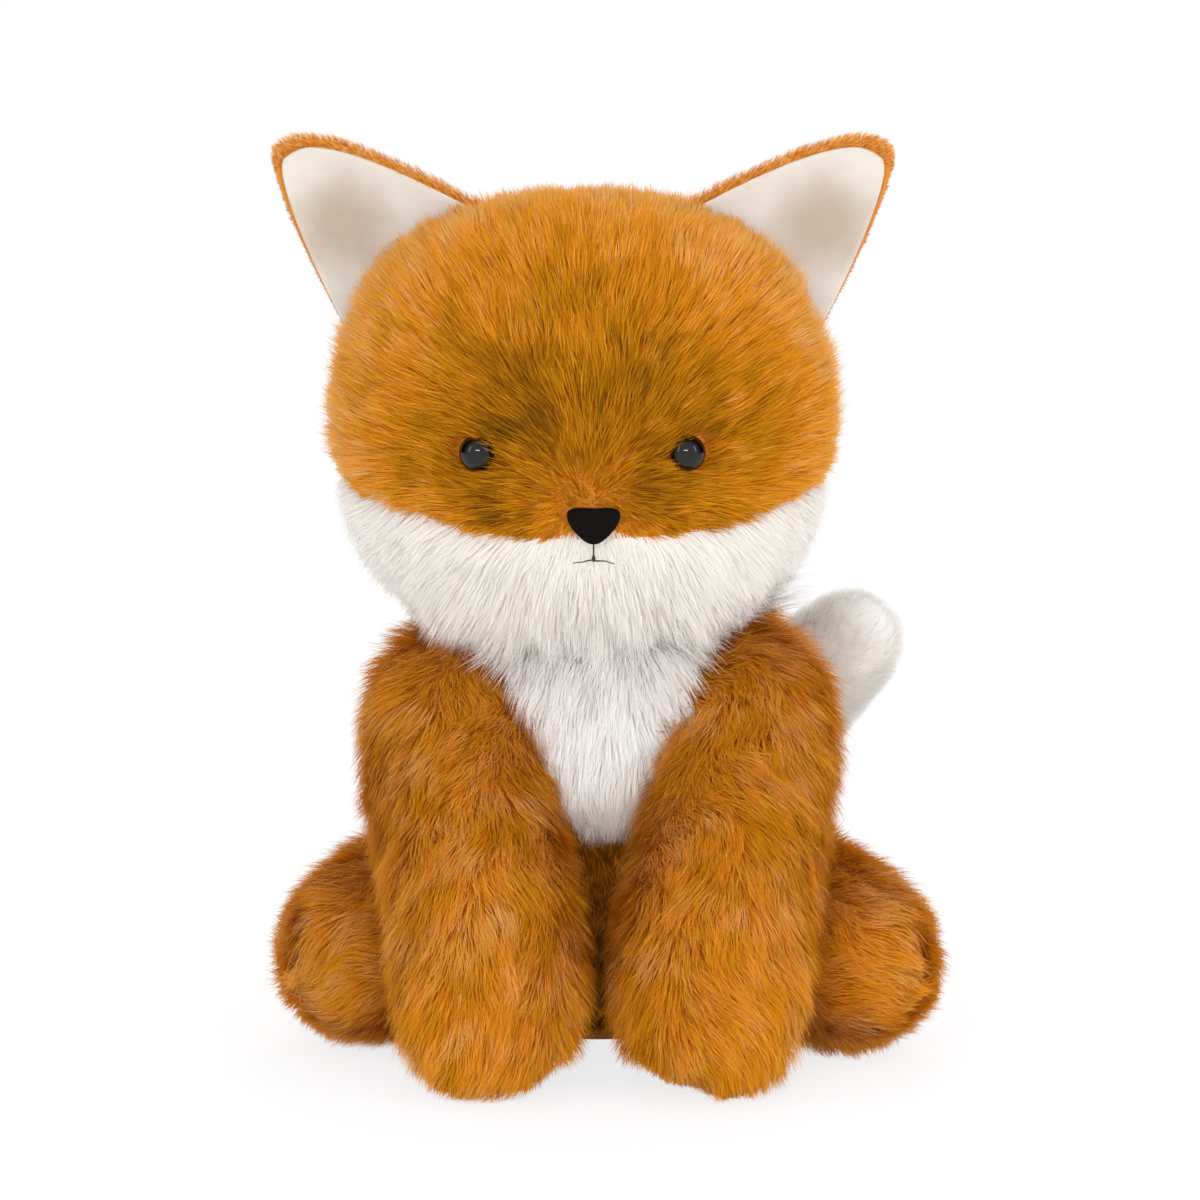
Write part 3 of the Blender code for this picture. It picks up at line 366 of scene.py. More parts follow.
def looks(name):
    """The materials, made once each."""
    if name in bpy.data.materials:
        return bpy.data.materials[name]
    c = colours()
    # The darkest orange tone carries the painted shade in the hollow below the bib and round the
    # eyes
    orange = shade(c.orange, 0.13), shade(c.orange, 0.6), tuple(c.orange), tuple(c.orange_pale_sheen)
    # The darkest white is a warm painted shade, for the bib's foot below the head and between the
    # arms
    white = (0.42, 0.27, 0.2), shade(c.white, 0.9), shade(c.white, 0.955), (1, 1, 1)
    make, *values = {
        # Acrylic faux fur, sliver knitted: satin fibres, darker at the root
        "Orange acrylic long pile": (pile_material, orange, c.orange_root, 0.72, 0.7, 0.35),
        "White acrylic long pile": (pile_material, white, c.white_root, 0.94, 0.7, 0.45),
        # Minky, a short cut polyester pile
        "White polyester short pile": (pile_material, white, c.white_root, 0.94, 0.8, 0.55),
        "Orange polyester short pile": (pile_material, orange, c.orange_root, 0.72, 0.8, 0.3),
        # Knitted backing that shows dark between the strands
        "Orange knitted backing": (cloth_material, c.orange_root, 0.9 * MM),
        "White knitted backing": (cloth_material, c.white_root, 0.9 * MM),
        # Brushed polyester velour, matt with a soft nap
        "Off-white brushed velour": (velour_material,),
        # Plain weave cotton
        "Grey cotton calico": (cloth_material, linear("#ABABA5"), 0.6 * MM),
        "Brown woven base cloth": (cloth_material, linear("#B8721C"), 0.7 * MM),
        # Polyester fibre fill, soft and cloudy
        "White fibre fill": (cloth_material, linear("#F0F0EE"), 1.5 * MM, 0.95, 0.5),
        # Moulded plastics: the eyes' clear black gloss and the washers' milky wax
        "Black polished ABS": (polished_material,),
        "Natural moulded nylon": (nylon_material,),
        # Flock, matt as velvet, and thread with a soft shine
        "Black flocked plastic": (flock_material,),
        "Black twisted embroidery thread": (thread_material,),
    }[name]
    return make(name, *values)


def signed_power(value, power):
    return math.copysign(abs(value) ** power, value)


def rounded_box(unit, half, powers):
    """A point of a unit ball moved onto a rounded box of these half sizes."""
    turn = math.atan2(unit.y, unit.x)
    out = math.hypot(unit.x, unit.y) ** (2 / powers[1])
    return Vector((
        half.x * out * signed_power(math.cos(turn), 2 / powers[0]),
        half.y * out * signed_power(math.sin(turn), 2 / powers[0]),
        half.z * signed_power(unit.z, 2 / powers[1]),
    ))


def swell(count):
    """How far a ring of this many cage points stands outside the round that it smooths to."""
    return 3 / (2 + math.cos(math.tau / count))


def ball_cage(divisions):
    bm = bmesh.new()
    bmesh.ops.create_cube(bm, size=2)
    bmesh.ops.subdivide_edges(bm, edges=bm.edges[:], cuts=divisions - 1, use_grid_fill=True)
    for vert in bm.verts:
        vert.co = Vector([math.tan(c * math.pi / 4) for c in vert.co]).normalized()
    return bm


def head_cage():
    bm = ball_cage(4)
    half = HEAD_SIZE / 2 * swell(16)
    for vert in bm.verts:
        powers = (HEAD_POWERS[0], HEAD_CROWN_POWER if vert.co.z > 0 else HEAD_POWERS[1])
        place = rounded_box(vert.co, half, powers)
        place.x *= 1 - HEAD_CHEEKS * place.z / half.z
        place += HEAD_CENTRE
        if place.y < HEAD_CENTRE.y:
            across = place.x - HEAD_CENTRE.x
            up = place.z - MUZZLE_HEIGHT
            place.y -= MUZZLE_SWELL * math.exp(-(across**2 + up**2) / MUZZLE_SPREAD**2)
        vert.co = place
    return bm


def body_cage():
    bm = ball_cage(4)
    for vert in bm.verts:
        vert.co = BODY_CENTRE + rounded_box(vert.co, BODY_SIZE / 2 * swell(16), BODY_POWERS)
    return bm


def bezier(points, share):
    a, b, c, d = points
    rest = 1 - share
    return a * rest**3 + b * 3 * rest**2 * share + c * 3 * rest * share**2 + d * share**3


def bezier_direction(points, share):
    a, b, c, d = points
    rest = 1 - share
    turned = (b - a) * rest**2 + (c - b) * 2 * rest * share + (d - c) * share**2
    return turned.normalized()


def limbs():
    """The five limbs' spines, end radii, waist, squareness and the axis that sets their rings."""
    found = {}
    for side, sign in SIDES.items():
        shoulder = Vector((sign * 38, -14, 88.4)) * MM
        paw = Vector((sign * 27.5, -61, 25.5)) * MM
        below = shoulder - Vector((0, 16, 22)) * MM
        wrist = paw + Vector((0, 0, 24)) * MM
        spine = (shoulder, below, wrist, paw)
        found[f"{side}_arm"] = (spine, 25.5 * MM, 26 * MM, -1.2 * MM, 2.6, Vector((sign, 0, 0)))
        hip = Vector((sign * 48.5, 12, 27.5)) * MM
        foot_place = (63.5, -22, 25.7) if side == "left" else (59.5, -14, 25.7)
        foot = Vector((sign * foot_place[0], *foot_place[1:])) * MM
        spine = (hip, hip.lerp(foot, 1 / 3), hip.lerp(foot, 2 / 3), foot)
        found[f"{side}_leg"] = (spine, 28 * MM, 26.2 * MM, 0, 2.6, Vector((0, 0, 1)))
    root = Vector((0, 46, 26)) * MM
    tip = Vector((68.5, 66, 93.5)) * MM
    spine = (root, root + Vector((0, 34, 0)) * MM, tip + Vector((-30, 17, -34)) * MM, tip)
    found["tail"] = (spine, 12.5 * MM, 17 * MM, 4.5 * MM, 2, Vector((0, 0, 1)))
    return found


def limb_cage(limb):
    """A stuffed limb with round ends: rings of points round a curved spine."""
    spine, start, end, bulge, squareness, across = limb
    bm = bmesh.new()
    bmesh.ops.create_uvsphere(bm, u_segments=LIMB_SIDES, v_segments=LIMB_SIDES, radius=1)
    for vert in bm.verts:
        latitude = math.asin(max(-1, min(1, vert.co.z))) / (math.pi / 2)
        share = max(0, min(1, latitude + 0.5))
        cap = max(0, abs(latitude) - 0.5) * math.pi
        turn = math.atan2(vert.co.y, vert.co.x) if cap < math.pi / 2 - math.radians(1) else 0
        radius = start * (1 - share) + end * share + bulge * 4 * share * (1 - share)
        radius *= swell(LIMB_SIDES)
        along = bezier_direction(spine, share)
        aside = along.cross(across).normalized()
        over = aside.cross(along)
        outward = aside * math.cos(turn) + over * math.sin(turn)
        power = 2 / (squareness if latitude > 0 else 2)
        tip = along * math.copysign(abs(math.sin(cap)) ** power, latitude)
        vert.co = bezier(spine, share) + (outward * abs(math.cos(cap)) ** power + tip) * radius
    return bm


def drawn(name, bm, smooth=True):
    """The mesh of a finished bmesh."""
    mesh = bpy.data.meshes.new(name)
    bm.to_mesh(mesh)
    bm.free()
    if smooth:
        mesh.shade_smooth()
    return mesh


def smoothed(name, bm, levels=3):
    """The smooth mesh of a cage."""
    bmesh.ops.recalc_face_normals(bm, faces=bm.faces)
    if bm.calc_volume(signed=True) < 0:
        bmesh.ops.reverse_faces(bm, faces=bm.faces)
    thing = bpy.data.objects.new(name, drawn(name, bm, smooth=False))
    bpy.context.scene.collection.objects.link(thing)
    thing.modifiers.new("Smooth", "SUBSURF").levels = levels
    graph = bpy.context.evaluated_depsgraph_get()
    made = bpy.data.meshes.new_from_object(thing.evaluated_get(graph))
    bpy.data.objects.remove(thing, do_unlink=True)
    made.name = name
    return made


def threes(rows, name, dtype=float):
    """A property of a mesh's rows, as an array of threes."""
    found = np.empty(len(rows) * 3, dtype=dtype)
    rows.foreach_get(name, found)
    return found.reshape(-1, 3)


class Surface:
    """A mesh as arrays: places, normals and triangles."""

    def __init__(self, mesh):
        mesh.calc_loop_triangles()
        self.places = threes(mesh.vertices, "co")
        self.normals = threes(mesh.vertex_normals, "vector")
        self.triangles = threes(mesh.loop_triangles, "vertices", np.int32)

    def scatter(self, per_mm2, rng):
        """Places and normals spread evenly over the surface."""
        a, b, c = (self.places[self.triangles[:, i]] for i in range(3))
        areas = np.linalg.norm(np.cross(b - a, c - a), axis=1) / 2
        count = int(areas.sum() / MM**2 * per_mm2)
        chosen = rng.choice(len(areas), count, p=areas / areas.sum())
        u, v = rng.random((2, count))
        over = u + v > 1
        u[over], v[over] = 1 - u[over], 1 - v[over]
        shares = np.stack([1 - u - v, u, v], axis=1)[:, :, None]
        corners = self.triangles[chosen]
        places = (self.places[corners] * shares).sum(axis=1)
        return places, unit((self.normals[corners] * shares).sum(axis=1))


def unit(vectors):
    return vectors / np.maximum(np.linalg.norm(vectors, axis=-1, keepdims=True), 1e-12)


def over(values, start, span):
    """0 up to a start, and 1 from a span past it, both in millimetres."""
    return np.clip((values - start * MM) / (span * MM), 0, 1)


def under(values, start, span):
    """0 down to a start, and 1 from a span below it, both in millimetres."""
    return over(-values, -start, span)


def away(places, place):
    return np.linalg.norm(places - np.array(place), axis=1)


def near(places, place, reach):
    """1 at a place, and fading to 0 past this reach in millimetres."""
    return np.exp(-((away(places, place) / (reach * MM)) ** 2))


def waves(places, size, seed):
    """Smooth random numbers, mostly from -1 to 1, that change over about this many metres."""
    rng = np.random.default_rng(seed)
    total = np.zeros(len(places))
    for _ in range(7):
        way = unit(rng.normal(size=3)) * math.tau / size * rng.uniform(0.6, 1.5)
        total += np.sin(places @ way + rng.uniform(0, math.tau))
    return total / 3.2


def along_surface(ways, normals):
    """These directions laid flat onto the surface."""
    return unit(ways - normals * (ways * normals).sum(axis=1, keepdims=True))


def nearest(leaders, places):
    tree = KDTree(len(leaders))
    for i, place in enumerate(leaders):
        tree.insert(place, i)
    tree.balance()
    return np.fromiter((tree.find(place)[1] for place in places), dtype=np.int32, count=len(places))


@dataclass
class Pile:
    """How a pile grows: its length, how far it leans, how it gathers into tufts, and how thick."""

    length: float
    per_mm2: float
    seed: int
    lean: tuple = (35, 72)
    tuft: float = 5 * MM
    pull: float = 0.25
    curl: float = 0.12
    swirl: float = 26
    uneven: float = 0.25
    width: float = 1.0


def strand_lines(roots, normals, flow, pile, lengths, stand, rng):
    """The strands' middle lines, before they gather into tufts."""
    count = len(roots)
    side = np.cross(normals, flow)
    phase = rng.uniform(0, math.tau, count)
    wobble = rng.normal(1, 0.16, count)
    first, last = (math.radians(angle) for angle in pile.lean)
    lines = np.empty((count, STRAND_STEPS + 1, 3))
    lines[:, 0] = roots
    for i in range(STRAND_STEPS):
        share = (i + 0.5) / STRAND_STEPS
        lean = (first + (last - first) * share) * wobble * stand
        way = normals * np.cos(lean)[:, None] + flow * np.sin(lean)[:, None]
        way += side * (pile.curl * np.sin(phase + share * 5))[:, None]
        lines[:, i + 1] = lines[:, i] + unit(way) * (lengths / STRAND_STEPS)[:, None]
    return lines


def turned_about(ways, normals, angles):
    cosine, sine = np.cos(angles)[:, None], np.sin(angles)[:, None]
    return ways * cosine + np.cross(normals, ways) * sine


def gathered(lines, roots, spacing, pull, rng):
    """Draws the strands' tips towards a leader each, so that they stand in tufts."""
    share = min(1, 1 / max(1e-9, spacing))
    count = max(1, int(len(roots) * share))
    leaders = rng.choice(len(roots), count, replace=False)
    chosen = nearest(roots[leaders], roots)
    rise = np.linspace(0, 1, lines.shape[1]) ** 1.3
    amount = pull * rng.uniform(0.5, 1.2, len(roots))
    mixed = np.clip(amount[:, None] * rise[None, :], 0, 0.95)[:, :, None]
    return lines + (lines[leaders][chosen] - lines) * mixed, chosen


def grow(surface, pile, comb, tint, keep, shorten=None, stand=None, parted=()):
    """The pile of one piece: ribbons that taper to a point, as lines, normals, widths and tints."""
    rng = np.random.default_rng(pile.seed)
    roots, normals = surface.scatter(pile.per_mm2, rng)
    kept = keep(roots, normals)
    roots, normals = roots[kept], normals[kept]
    ways = comb(roots) if callable(comb) else np.tile(comb, (len(roots), 1))
    swirl = math.radians(pile.swirl)
    angles = swirl * waves(roots, 24 * MM, pile.seed + 1)
    angles += 0.5 * swirl * waves(roots, 9 * MM, pile.seed + 5)
    angles += rng.normal(0, math.radians(9), len(roots))
    flow = turned_about(along_surface(ways, normals), normals, angles)
    lengths = pile.length * (1 + pile.uneven * rng.uniform(-1, 1, len(roots)))
    lengths *= 1 + 0.12 * waves(roots, 12 * MM, pile.seed + 2)
    if shorten is not None:
        lengths *= shorten(roots)
    upright = np.ones(len(roots)) if stand is None else stand(roots)
    lines = strand_lines(roots, normals, flow, pile, lengths, upright, rng)
    per_tuft = pile.per_mm2 / MM**2 * pile.tuft**2
    lines, _ = gathered(lines, roots, per_tuft / 9, pile.pull * 0.75, rng)
    lines, tufts = gathered(lines, roots, per_tuft, pile.pull, rng)
    lines, whole = stopped_short(lines, parted)
    lines[:, :, 2] = np.maximum(lines[:, :, 2], 0.3 * MM + 0.4 * MM * rng.random((len(roots), 1)))
    tuft_tone = np.random.default_rng(pile.seed + 3).normal(0, 1, int(tufts.max()) + 1)[tufts]
    tones = tint(roots) if callable(tint) else tint
    tones = tones + 0.06 * tuft_tone + 0.09 * rng.normal(0, 1, len(roots))
    tones += 0.05 * waves(roots, 20 * MM, pile.seed + 4)
    widths = sizes().strand * pile.width * rng.uniform(0.7, 1.25, len(roots))
    tones = np.clip(tones, 0.01, 0.985)
    return lines[whole], normals[whole], widths[whole], tones[whole], rng


def inside_fitting(lines, fitting):
    """Which strands hang over a round fitting, such as an eye."""
    centre, facing, radius = fitting
    apart = lines - np.array(centre)
    depth = (apart * np.array(facing)).sum(axis=-1, keepdims=True)
    away = np.linalg.norm(apart - depth * np.array(facing), axis=-1)
    return ((away < radius) & (depth[..., 0] > -6 * MM)).any(axis=1)


def stopped_short(lines, fittings):
    """Shortens the strands that would hang over a fitting, and says which of them to keep."""
    kept = np.ones(len(lines), dtype=bool)
    roots = lines[:, :1]
    for fitting in fittings:
        for share in (1, 0.8, 0.6, 0.42, 0.28):
            over = inside_fitting(roots + (lines - roots) * share, fitting)
            if share == 1:
                crossing = over
                best = np.where(over, 0.0, 1.0)
            best = np.where(crossing & ~over & (best == 0), share, best)
        kept &= best > 0
        lines = roots + (lines - roots) * np.maximum(best, 0.1)[:, None, None]
    return lines, kept


def ribbon_mesh(name, lines, normals, widths, tones, rng):
    """One mesh of flat tapering strands, each turned a little about its own line."""
    count = len(lines)
    rings = lines.shape[1] - 1
    along = unit(np.gradient(lines, axis=1))[:, :rings]
    facing = normals[:, None, :] + rng.normal(0, 0.2, (count, 1, 3))
    side = unit(np.cross(along, facing))
    taper = np.array([0.8, 1.0, 0.7, 0.45])[:rings]
    half = side * (widths[:, None] * taper[None, :])[:, :, None] / 2
    per_strand = rings * 2 + 1
    points = np.empty((count, per_strand, 3))
    points[:, 0:-1:2] = lines[:, :rings] - half
    points[:, 1:-1:2] = lines[:, :rings] + half
    points[:, -1] = lines[:, -1]
    corners = [2 * i + k for i in range(rings - 1) for k in (0, 1, 3, 2)]
    corners = np.array(corners + [2 * rings - 2, 2 * rings - 1, 2 * rings])
    each = np.arange(count)[:, None]
    loops = (corners[None, :] + per_strand * each).astype(np.int32)
    faces = (4 * np.arange(rings)[None, :] + len(corners) * each).astype(np.int32)
    mesh = bpy.data.meshes.new(name)
    mesh.vertices.add(count * per_strand)
    mesh.vertices.foreach_set("co", points.astype(np.float32).ravel())
    mesh.loops.add(loops.size)
    mesh.loops.foreach_set("vertex_index", loops.ravel())
    mesh.polygons.add(faces.size)
    mesh.polygons.foreach_set("loop_start", faces.ravel())
    layer = mesh.uv_layers.new(name="OFBake")
    right = np.where(corners < 2 * rings, corners % 2, 0.5)
    maps = np.empty((count, len(corners), 2), dtype=np.float32)
    maps[:, :, 0] = tones[:, None] + right[None, :] * 0.003
    maps[:, :, 1] = 0.002 + 0.996 * (corners // 2 / rings)[None, :]
    layer.data.foreach_set("uv", maps.ravel())
    mesh.update(calc_edges=True)
    mesh.shade_smooth()
    way = unit(lines[:, -1] - lines[:, 0])
    square = unit(normals - 0.75 * way * (way * normals).sum(axis=1, keepdims=True))
    soft = unit(square[:, None, :] + 0.25 * side[:, :1] * rng.normal(0, 1, (count, 1, 1)))
    mesh.normals_split_custom_set_from_vertices(
        np.repeat(soft, per_strand, axis=1).reshape(-1, 3)
    )
    return mesh


def place_piece(name, mesh, look, body, packed):
    """Puts a new piece in the scene, on its body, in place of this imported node."""
    thing = bpy.data.objects.new(name, mesh)
    mesh.materials.clear()
    mesh.materials.append(looks(look))
    bpy.context.scene.collection.objects.link(thing)
    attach(thing, body)
    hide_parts(packed)


def add_pile(name, surface, pile, comb, tint, body, slot, packed, **rules):
    """Grows a pile and puts it in the scene as one piece, or as several where it is dense."""
    *rows, rng = grow(surface, pile, comb, tint, **rules)
    lines = rows[0]
    parts = math.ceil(len(lines) / MOST_STRANDS)
    order = np.argsort(lines[:, 0, 1]) if parts > 1 else np.arange(len(lines))
    for i, chosen in enumerate(np.array_split(order, parts)):
        label = f"{name}_{'abcdefgh'[i]}" if parts > 1 else name
        mesh = ribbon_mesh(label, *(row[chosen] for row in rows), rng)
        place_piece(label, mesh, PILE_LOOKS[slot], body, packed)


def shrunk(mesh, depth):
    """Moves a closed mesh in along its normals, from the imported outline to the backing."""
    surface = Surface(mesh)
    surface.places -= surface.normals * depth
    mesh.vertices.foreach_set("co", surface.places.astype(np.float32).ravel())
    mesh.update()
    return Surface(mesh)


def parted_mesh(mesh, name, point, normal):
    """The side of a mesh that lies behind a plane."""
    bm = bmesh.new()
    bm.from_mesh(mesh)
    everything = bm.verts[:] + bm.edges[:] + bm.faces[:]
    bmesh.ops.bisect_plane(bm, geom=everything, plane_co=point, plane_no=normal, clear_outer=True)
    return drawn(name, bm)


def part_of(mesh, name, wanted):
    """The faces of a mesh whose middles are wanted."""
    bm = bmesh.new()
    bm.from_mesh(mesh)
    middles = np.array([face.calc_center_median() for face in bm.faces])
    dropped = [face for face, kept in zip(bm.faces, wanted(middles)) if not kept]
    bmesh.ops.delete(bm, geom=dropped, context="FACES")
    return drawn(name, bm)


def box_share(places, centre, size, powers, margin):
    """Under 1 inside a rounded box that is this much smaller all round, and over 1 outside."""
    half = np.array(size) / 2 - margin
    apart = np.abs(places - np.array(centre)) / half
    plan = (apart[:, 0] ** powers[0] + apart[:, 1] ** powers[0]) ** (powers[1] / powers[0])
    return plan + apart[:, 2] ** powers[1]


def outside_body(places, margin):
    return box_share(places, BODY_CENTRE, BODY_SIZE, BODY_POWERS, margin) > 1


def outside_head(places, margin):
    return box_share(places, HEAD_CENTRE, HEAD_SIZE, HEAD_POWERS, margin) > 1


def outside_limb(places, limb, margin):
    spine, start, end, bulge = limb[:4]
    free = np.full(len(places), np.inf)
    for i in range(25):
        share = i / 24
        radius = start * (1 - share) + end * share + bulge * 4 * share * (1 - share)
        free = np.minimum(free, away(places, bezier(spine, share)) - radius)
    return free > -margin


def seam_level(places):
    """Height of the face's colour seam, which dips to the nose and lifts beside its tip."""
    level = SEAM_HEIGHT + (places[:, 1] - NECK_PIVOT.y) * math.tan(SEAM_TILT)
    aside = np.abs(places[:, 0] - HEAD_CENTRE.x - NOSE_ASIDE)
    front = places[:, 1] < -45 * MM
    beside_nose = np.where(front, 4 * MM * np.exp(-((aside / (8 * MM)) ** 2)), 0)
    return level + 4.5 * MM * over(aside, 20, 30) + beside_nose


def bib_share(places):
    """Over 0 inside the bib's outline."""
    up = np.clip((places[:, 2] - BIB_MIDDLE) / BIB_HALF.z, -1, 1)
    half = np.sqrt(1 - up**2) * ((1 + up) / 2) ** BIB_TAPER * BIB_HALF.x
    front = (places[:, 1] < BODY_CENTRE.y) & (up > BIB_FOOT)
    return np.where(front, half - np.abs(places[:, 0] - 4 * MM), -1)


def form(name, cage, depth=None):
    """A sewn form, drawn once: its backing as a mesh and as arrays, and its outline as arrays."""
    if name not in FORMS:
        mesh = smoothed(f"{name}_form", cage())
        outline = Surface(mesh)
        FORMS[name] = (mesh, shrunk(mesh, depth or sizes().pile_depth), outline)
    return FORMS[name]


def face_point(tree, across, level):
    """The point of the face at this place across and height."""
    return tree.ray_cast(Vector((across, -0.2, level)), Vector((0, 1, 0)))[0]


def face_fittings():
    """Where the eyes and nose sit on the face, name to place and direction, and its outline."""
    outline = form("head", head_cage)[2]
    tree = BVHTree.FromPolygons(
        [Vector(p) for p in outline.places], [tuple(int(i) for i in t) for t in outline.triangles]
    )
    found = {}
    reach = sizes().eye
    for side, sign in SIDES.items():
        across = HEAD_CENTRE.x + sign * EYE_OUT
        flank = [face_point(tree, across + s * reach, EYE_HEIGHT) for s in (-1, 1)]
        ends = [face_point(tree, across, EYE_HEIGHT + s * reach) for s in (-1, 1)]
        facing = (flank[1] - flank[0]).cross(ends[1] - ends[0]).normalized()
        found[side] = (face_point(tree, across, EYE_HEIGHT), facing)
    middle = HEAD_CENTRE.x + NOSE_ASIDE
    found["nose"] = (face_point(tree, middle, NOSE_HEIGHT), Vector((0, -1, 0)))
    return found, tree


def set_on_face(mesh, spot, facing, sunk):
    """Turns a fitting from +Z to the way that the face looks, and sinks it this far in."""
    turn = facing.to_track_quat("Z", "Y").to_matrix().to_4x4()
    mesh.transform(Matrix.Translation(spot - facing * sunk) @ turn)


# How the nap lies


def comb_crown(places):
    """Out from the bridge of the nose, over the crown, and down the back."""
    radial = unit(places - (np.array(HEAD_CENTRE) + np.array((3, -66, -18)) * MM))
    back = over(places[:, 1:2], 5, 45)
    return radial * (1 - back) + np.array((0.0, 0.1, -1.0)) * back * 1.2


def comb_muzzle(places):
    """Down and outwards from the nose."""
    radial = unit(places - (np.array(HEAD_CENTRE) + np.array((2.8, -66, -22)) * MM))
    return radial * 0.8 + np.array((0.0, 0.0, -0.75))


def comb_body(places):
    return np.stack([places[:, 0] * 9, places[:, 1] * 4, np.full(len(places), -1.0)], axis=1)


def comb_limb(limb, bias=(0, 0, 0)):
    """Along a limb towards its end, with this much of another direction."""
    shares = [i / 20 for i in range(21)]
    knots = np.array([bezier(limb[0], share) for share in shares])
    ways = np.array([bezier_direction(limb[0], share) for share in shares])

    def comb(places):
        apart = np.linalg.norm(places[:, None, :] - knots[None, :, :], axis=2)
        return ways[np.argmin(apart, axis=1)] + np.array(bias)

    return comb


def at_floor(places):
    """1 at the floor, where the pile stands out from the form, and 0 from 22 mm up."""
    return under(places[:, 2], 22, 22)


class FOX_OT_head(bpy.types.Operator):
    """Sews the head from its orange crown and white muzzle, and grows their pile"""

    bl_idname = "fox.head"
    bl_label = "Head"

    def execute(self, context):
        mesh, backing, _ = form("head", head_cage)
        point = Vector((0, NECK_PIVOT.y, SEAM_HEIGHT))
        normal = Vector((0, -math.sin(SEAM_TILT), math.cos(SEAM_TILT)))
        for panel, colour, way in (("crown", "Orange", -normal), ("muzzle", "White", normal)):
            name = f"head_{panel}_backing"
            place_piece(
                name, parted_mesh(mesh, name, point, way), f"{colour} knitted backing", "head",
                f"head_{panel}_skin",
            )
        fittings, _ = face_fittings()
        parted = []
        for side, sign in SIDES.items():
            spot, facing = fittings[side]
            # The pile hangs over the eye's inner side
            aside = Vector((sign * 1.5 * MM, 0, 0))
            parted.append((spot + aside, facing, sizes().eye * 0.88))
        parted.append((*fittings["nose"], 3.8 * MM))
        eyes = [fittings[side][0] for side in SIDES]

        def near_fittings(places):
            short = 0.35 + 0.65 * over(away(places, fittings["nose"][0]), 7, 22)
            for eye in eyes:
                short = short * (0.6 + 0.4 * over(away(places, eye), 4, 12))
            return short

        def inside_eyes(places):
            """1 on the inner side of an eye, where the pile stands up and hides the eye's edge."""
            found = np.zeros(len(places))
            for eye, sign in zip(eyes, SIDES.values()):
                found += over(sign * (eye[0] - places[:, 0]), 0, 3) * near(places, eye, 8)
            return np.minimum(found, 1)

        def crown_tint(places):
            """Darkest on the forehead, with painted shade round the eyes, and paler towards the
            outline as a painted sheen on the tips.
            """
            # Painted sheen: the pile pales towards the outline, less so at the back
            out = over(away(places, np.array(HEAD_CENTRE) + np.array((0, -50, -3)) * MM), 0, 72)
            back = over(places[:, 1], 12, 30)
            level = 0.21 + 0.5 * out**1.5 * (1 - 0.62 * back) + 0.13 * waves(places, 1 * MM, 15)
            # Painted shade round each eye
            for eye in eyes:
                level -= 0.3 * near(places, eye, 6.2)
                level -= 0.05 * near(places, eye, 14)
            return level

        def jaw(places):
            return 0.8 * over(np.abs(places[:, 0] - HEAD_CENTRE.x), 30, 14)

        def chin(places):
            return under(places[:, 2], 135, 18) * (1 - jaw(places))

        def crown_length(places):
            up = over(places[:, 2] - seam_level(places), 0, 9)
            top = over(places[:, 2], 205, 16)
            length = near_fittings(places) * (0.5 + 0.5 * up) * (1 - 0.2 * top)
            return length * (1 + 0.5 * inside_eyes(places))

        def muzzle_length(places):
            hanging = chin(places) * (0.8 + 0.4 * waves(places, 9 * MM, 16))
            return near_fittings(places) * (1 + hanging) * (1 - 0.3 * jaw(places))

        add_pile(
            "head_crown_fur", backing,
            Pile(sizes().head_pile, 3.4, seed=11, lean=(40, 72), tuft=4 * MM, pull=0.26, swirl=14),
            comb_crown, crown_tint, "head", "orange_long_pile", "head_crown_skin",
            keep=lambda p, n: p[:, 2] > seam_level(p),
            shorten=crown_length, stand=lambda p: 1 - 0.65 * inside_eyes(p), parted=parted,
        )
        add_pile(
            "head_muzzle_fur", backing,
            Pile(sizes().muzzle_pile, 4, seed=21, lean=(38, 72), tuft=4 * MM, pull=0.14,
                 curl=0.06, swirl=12, uneven=0.15),
            comb_muzzle, 0.45, "head", "white_long_pile", "head_muzzle_skin",
            keep=lambda p, n: (p[:, 2] <= seam_level(p)) & (p[:, 2] > 113 * MM),
            shorten=muzzle_length, stand=lambda p: 1 - 0.3 * chin(p), parted=parted,
        )
        return {"FINISHED"}


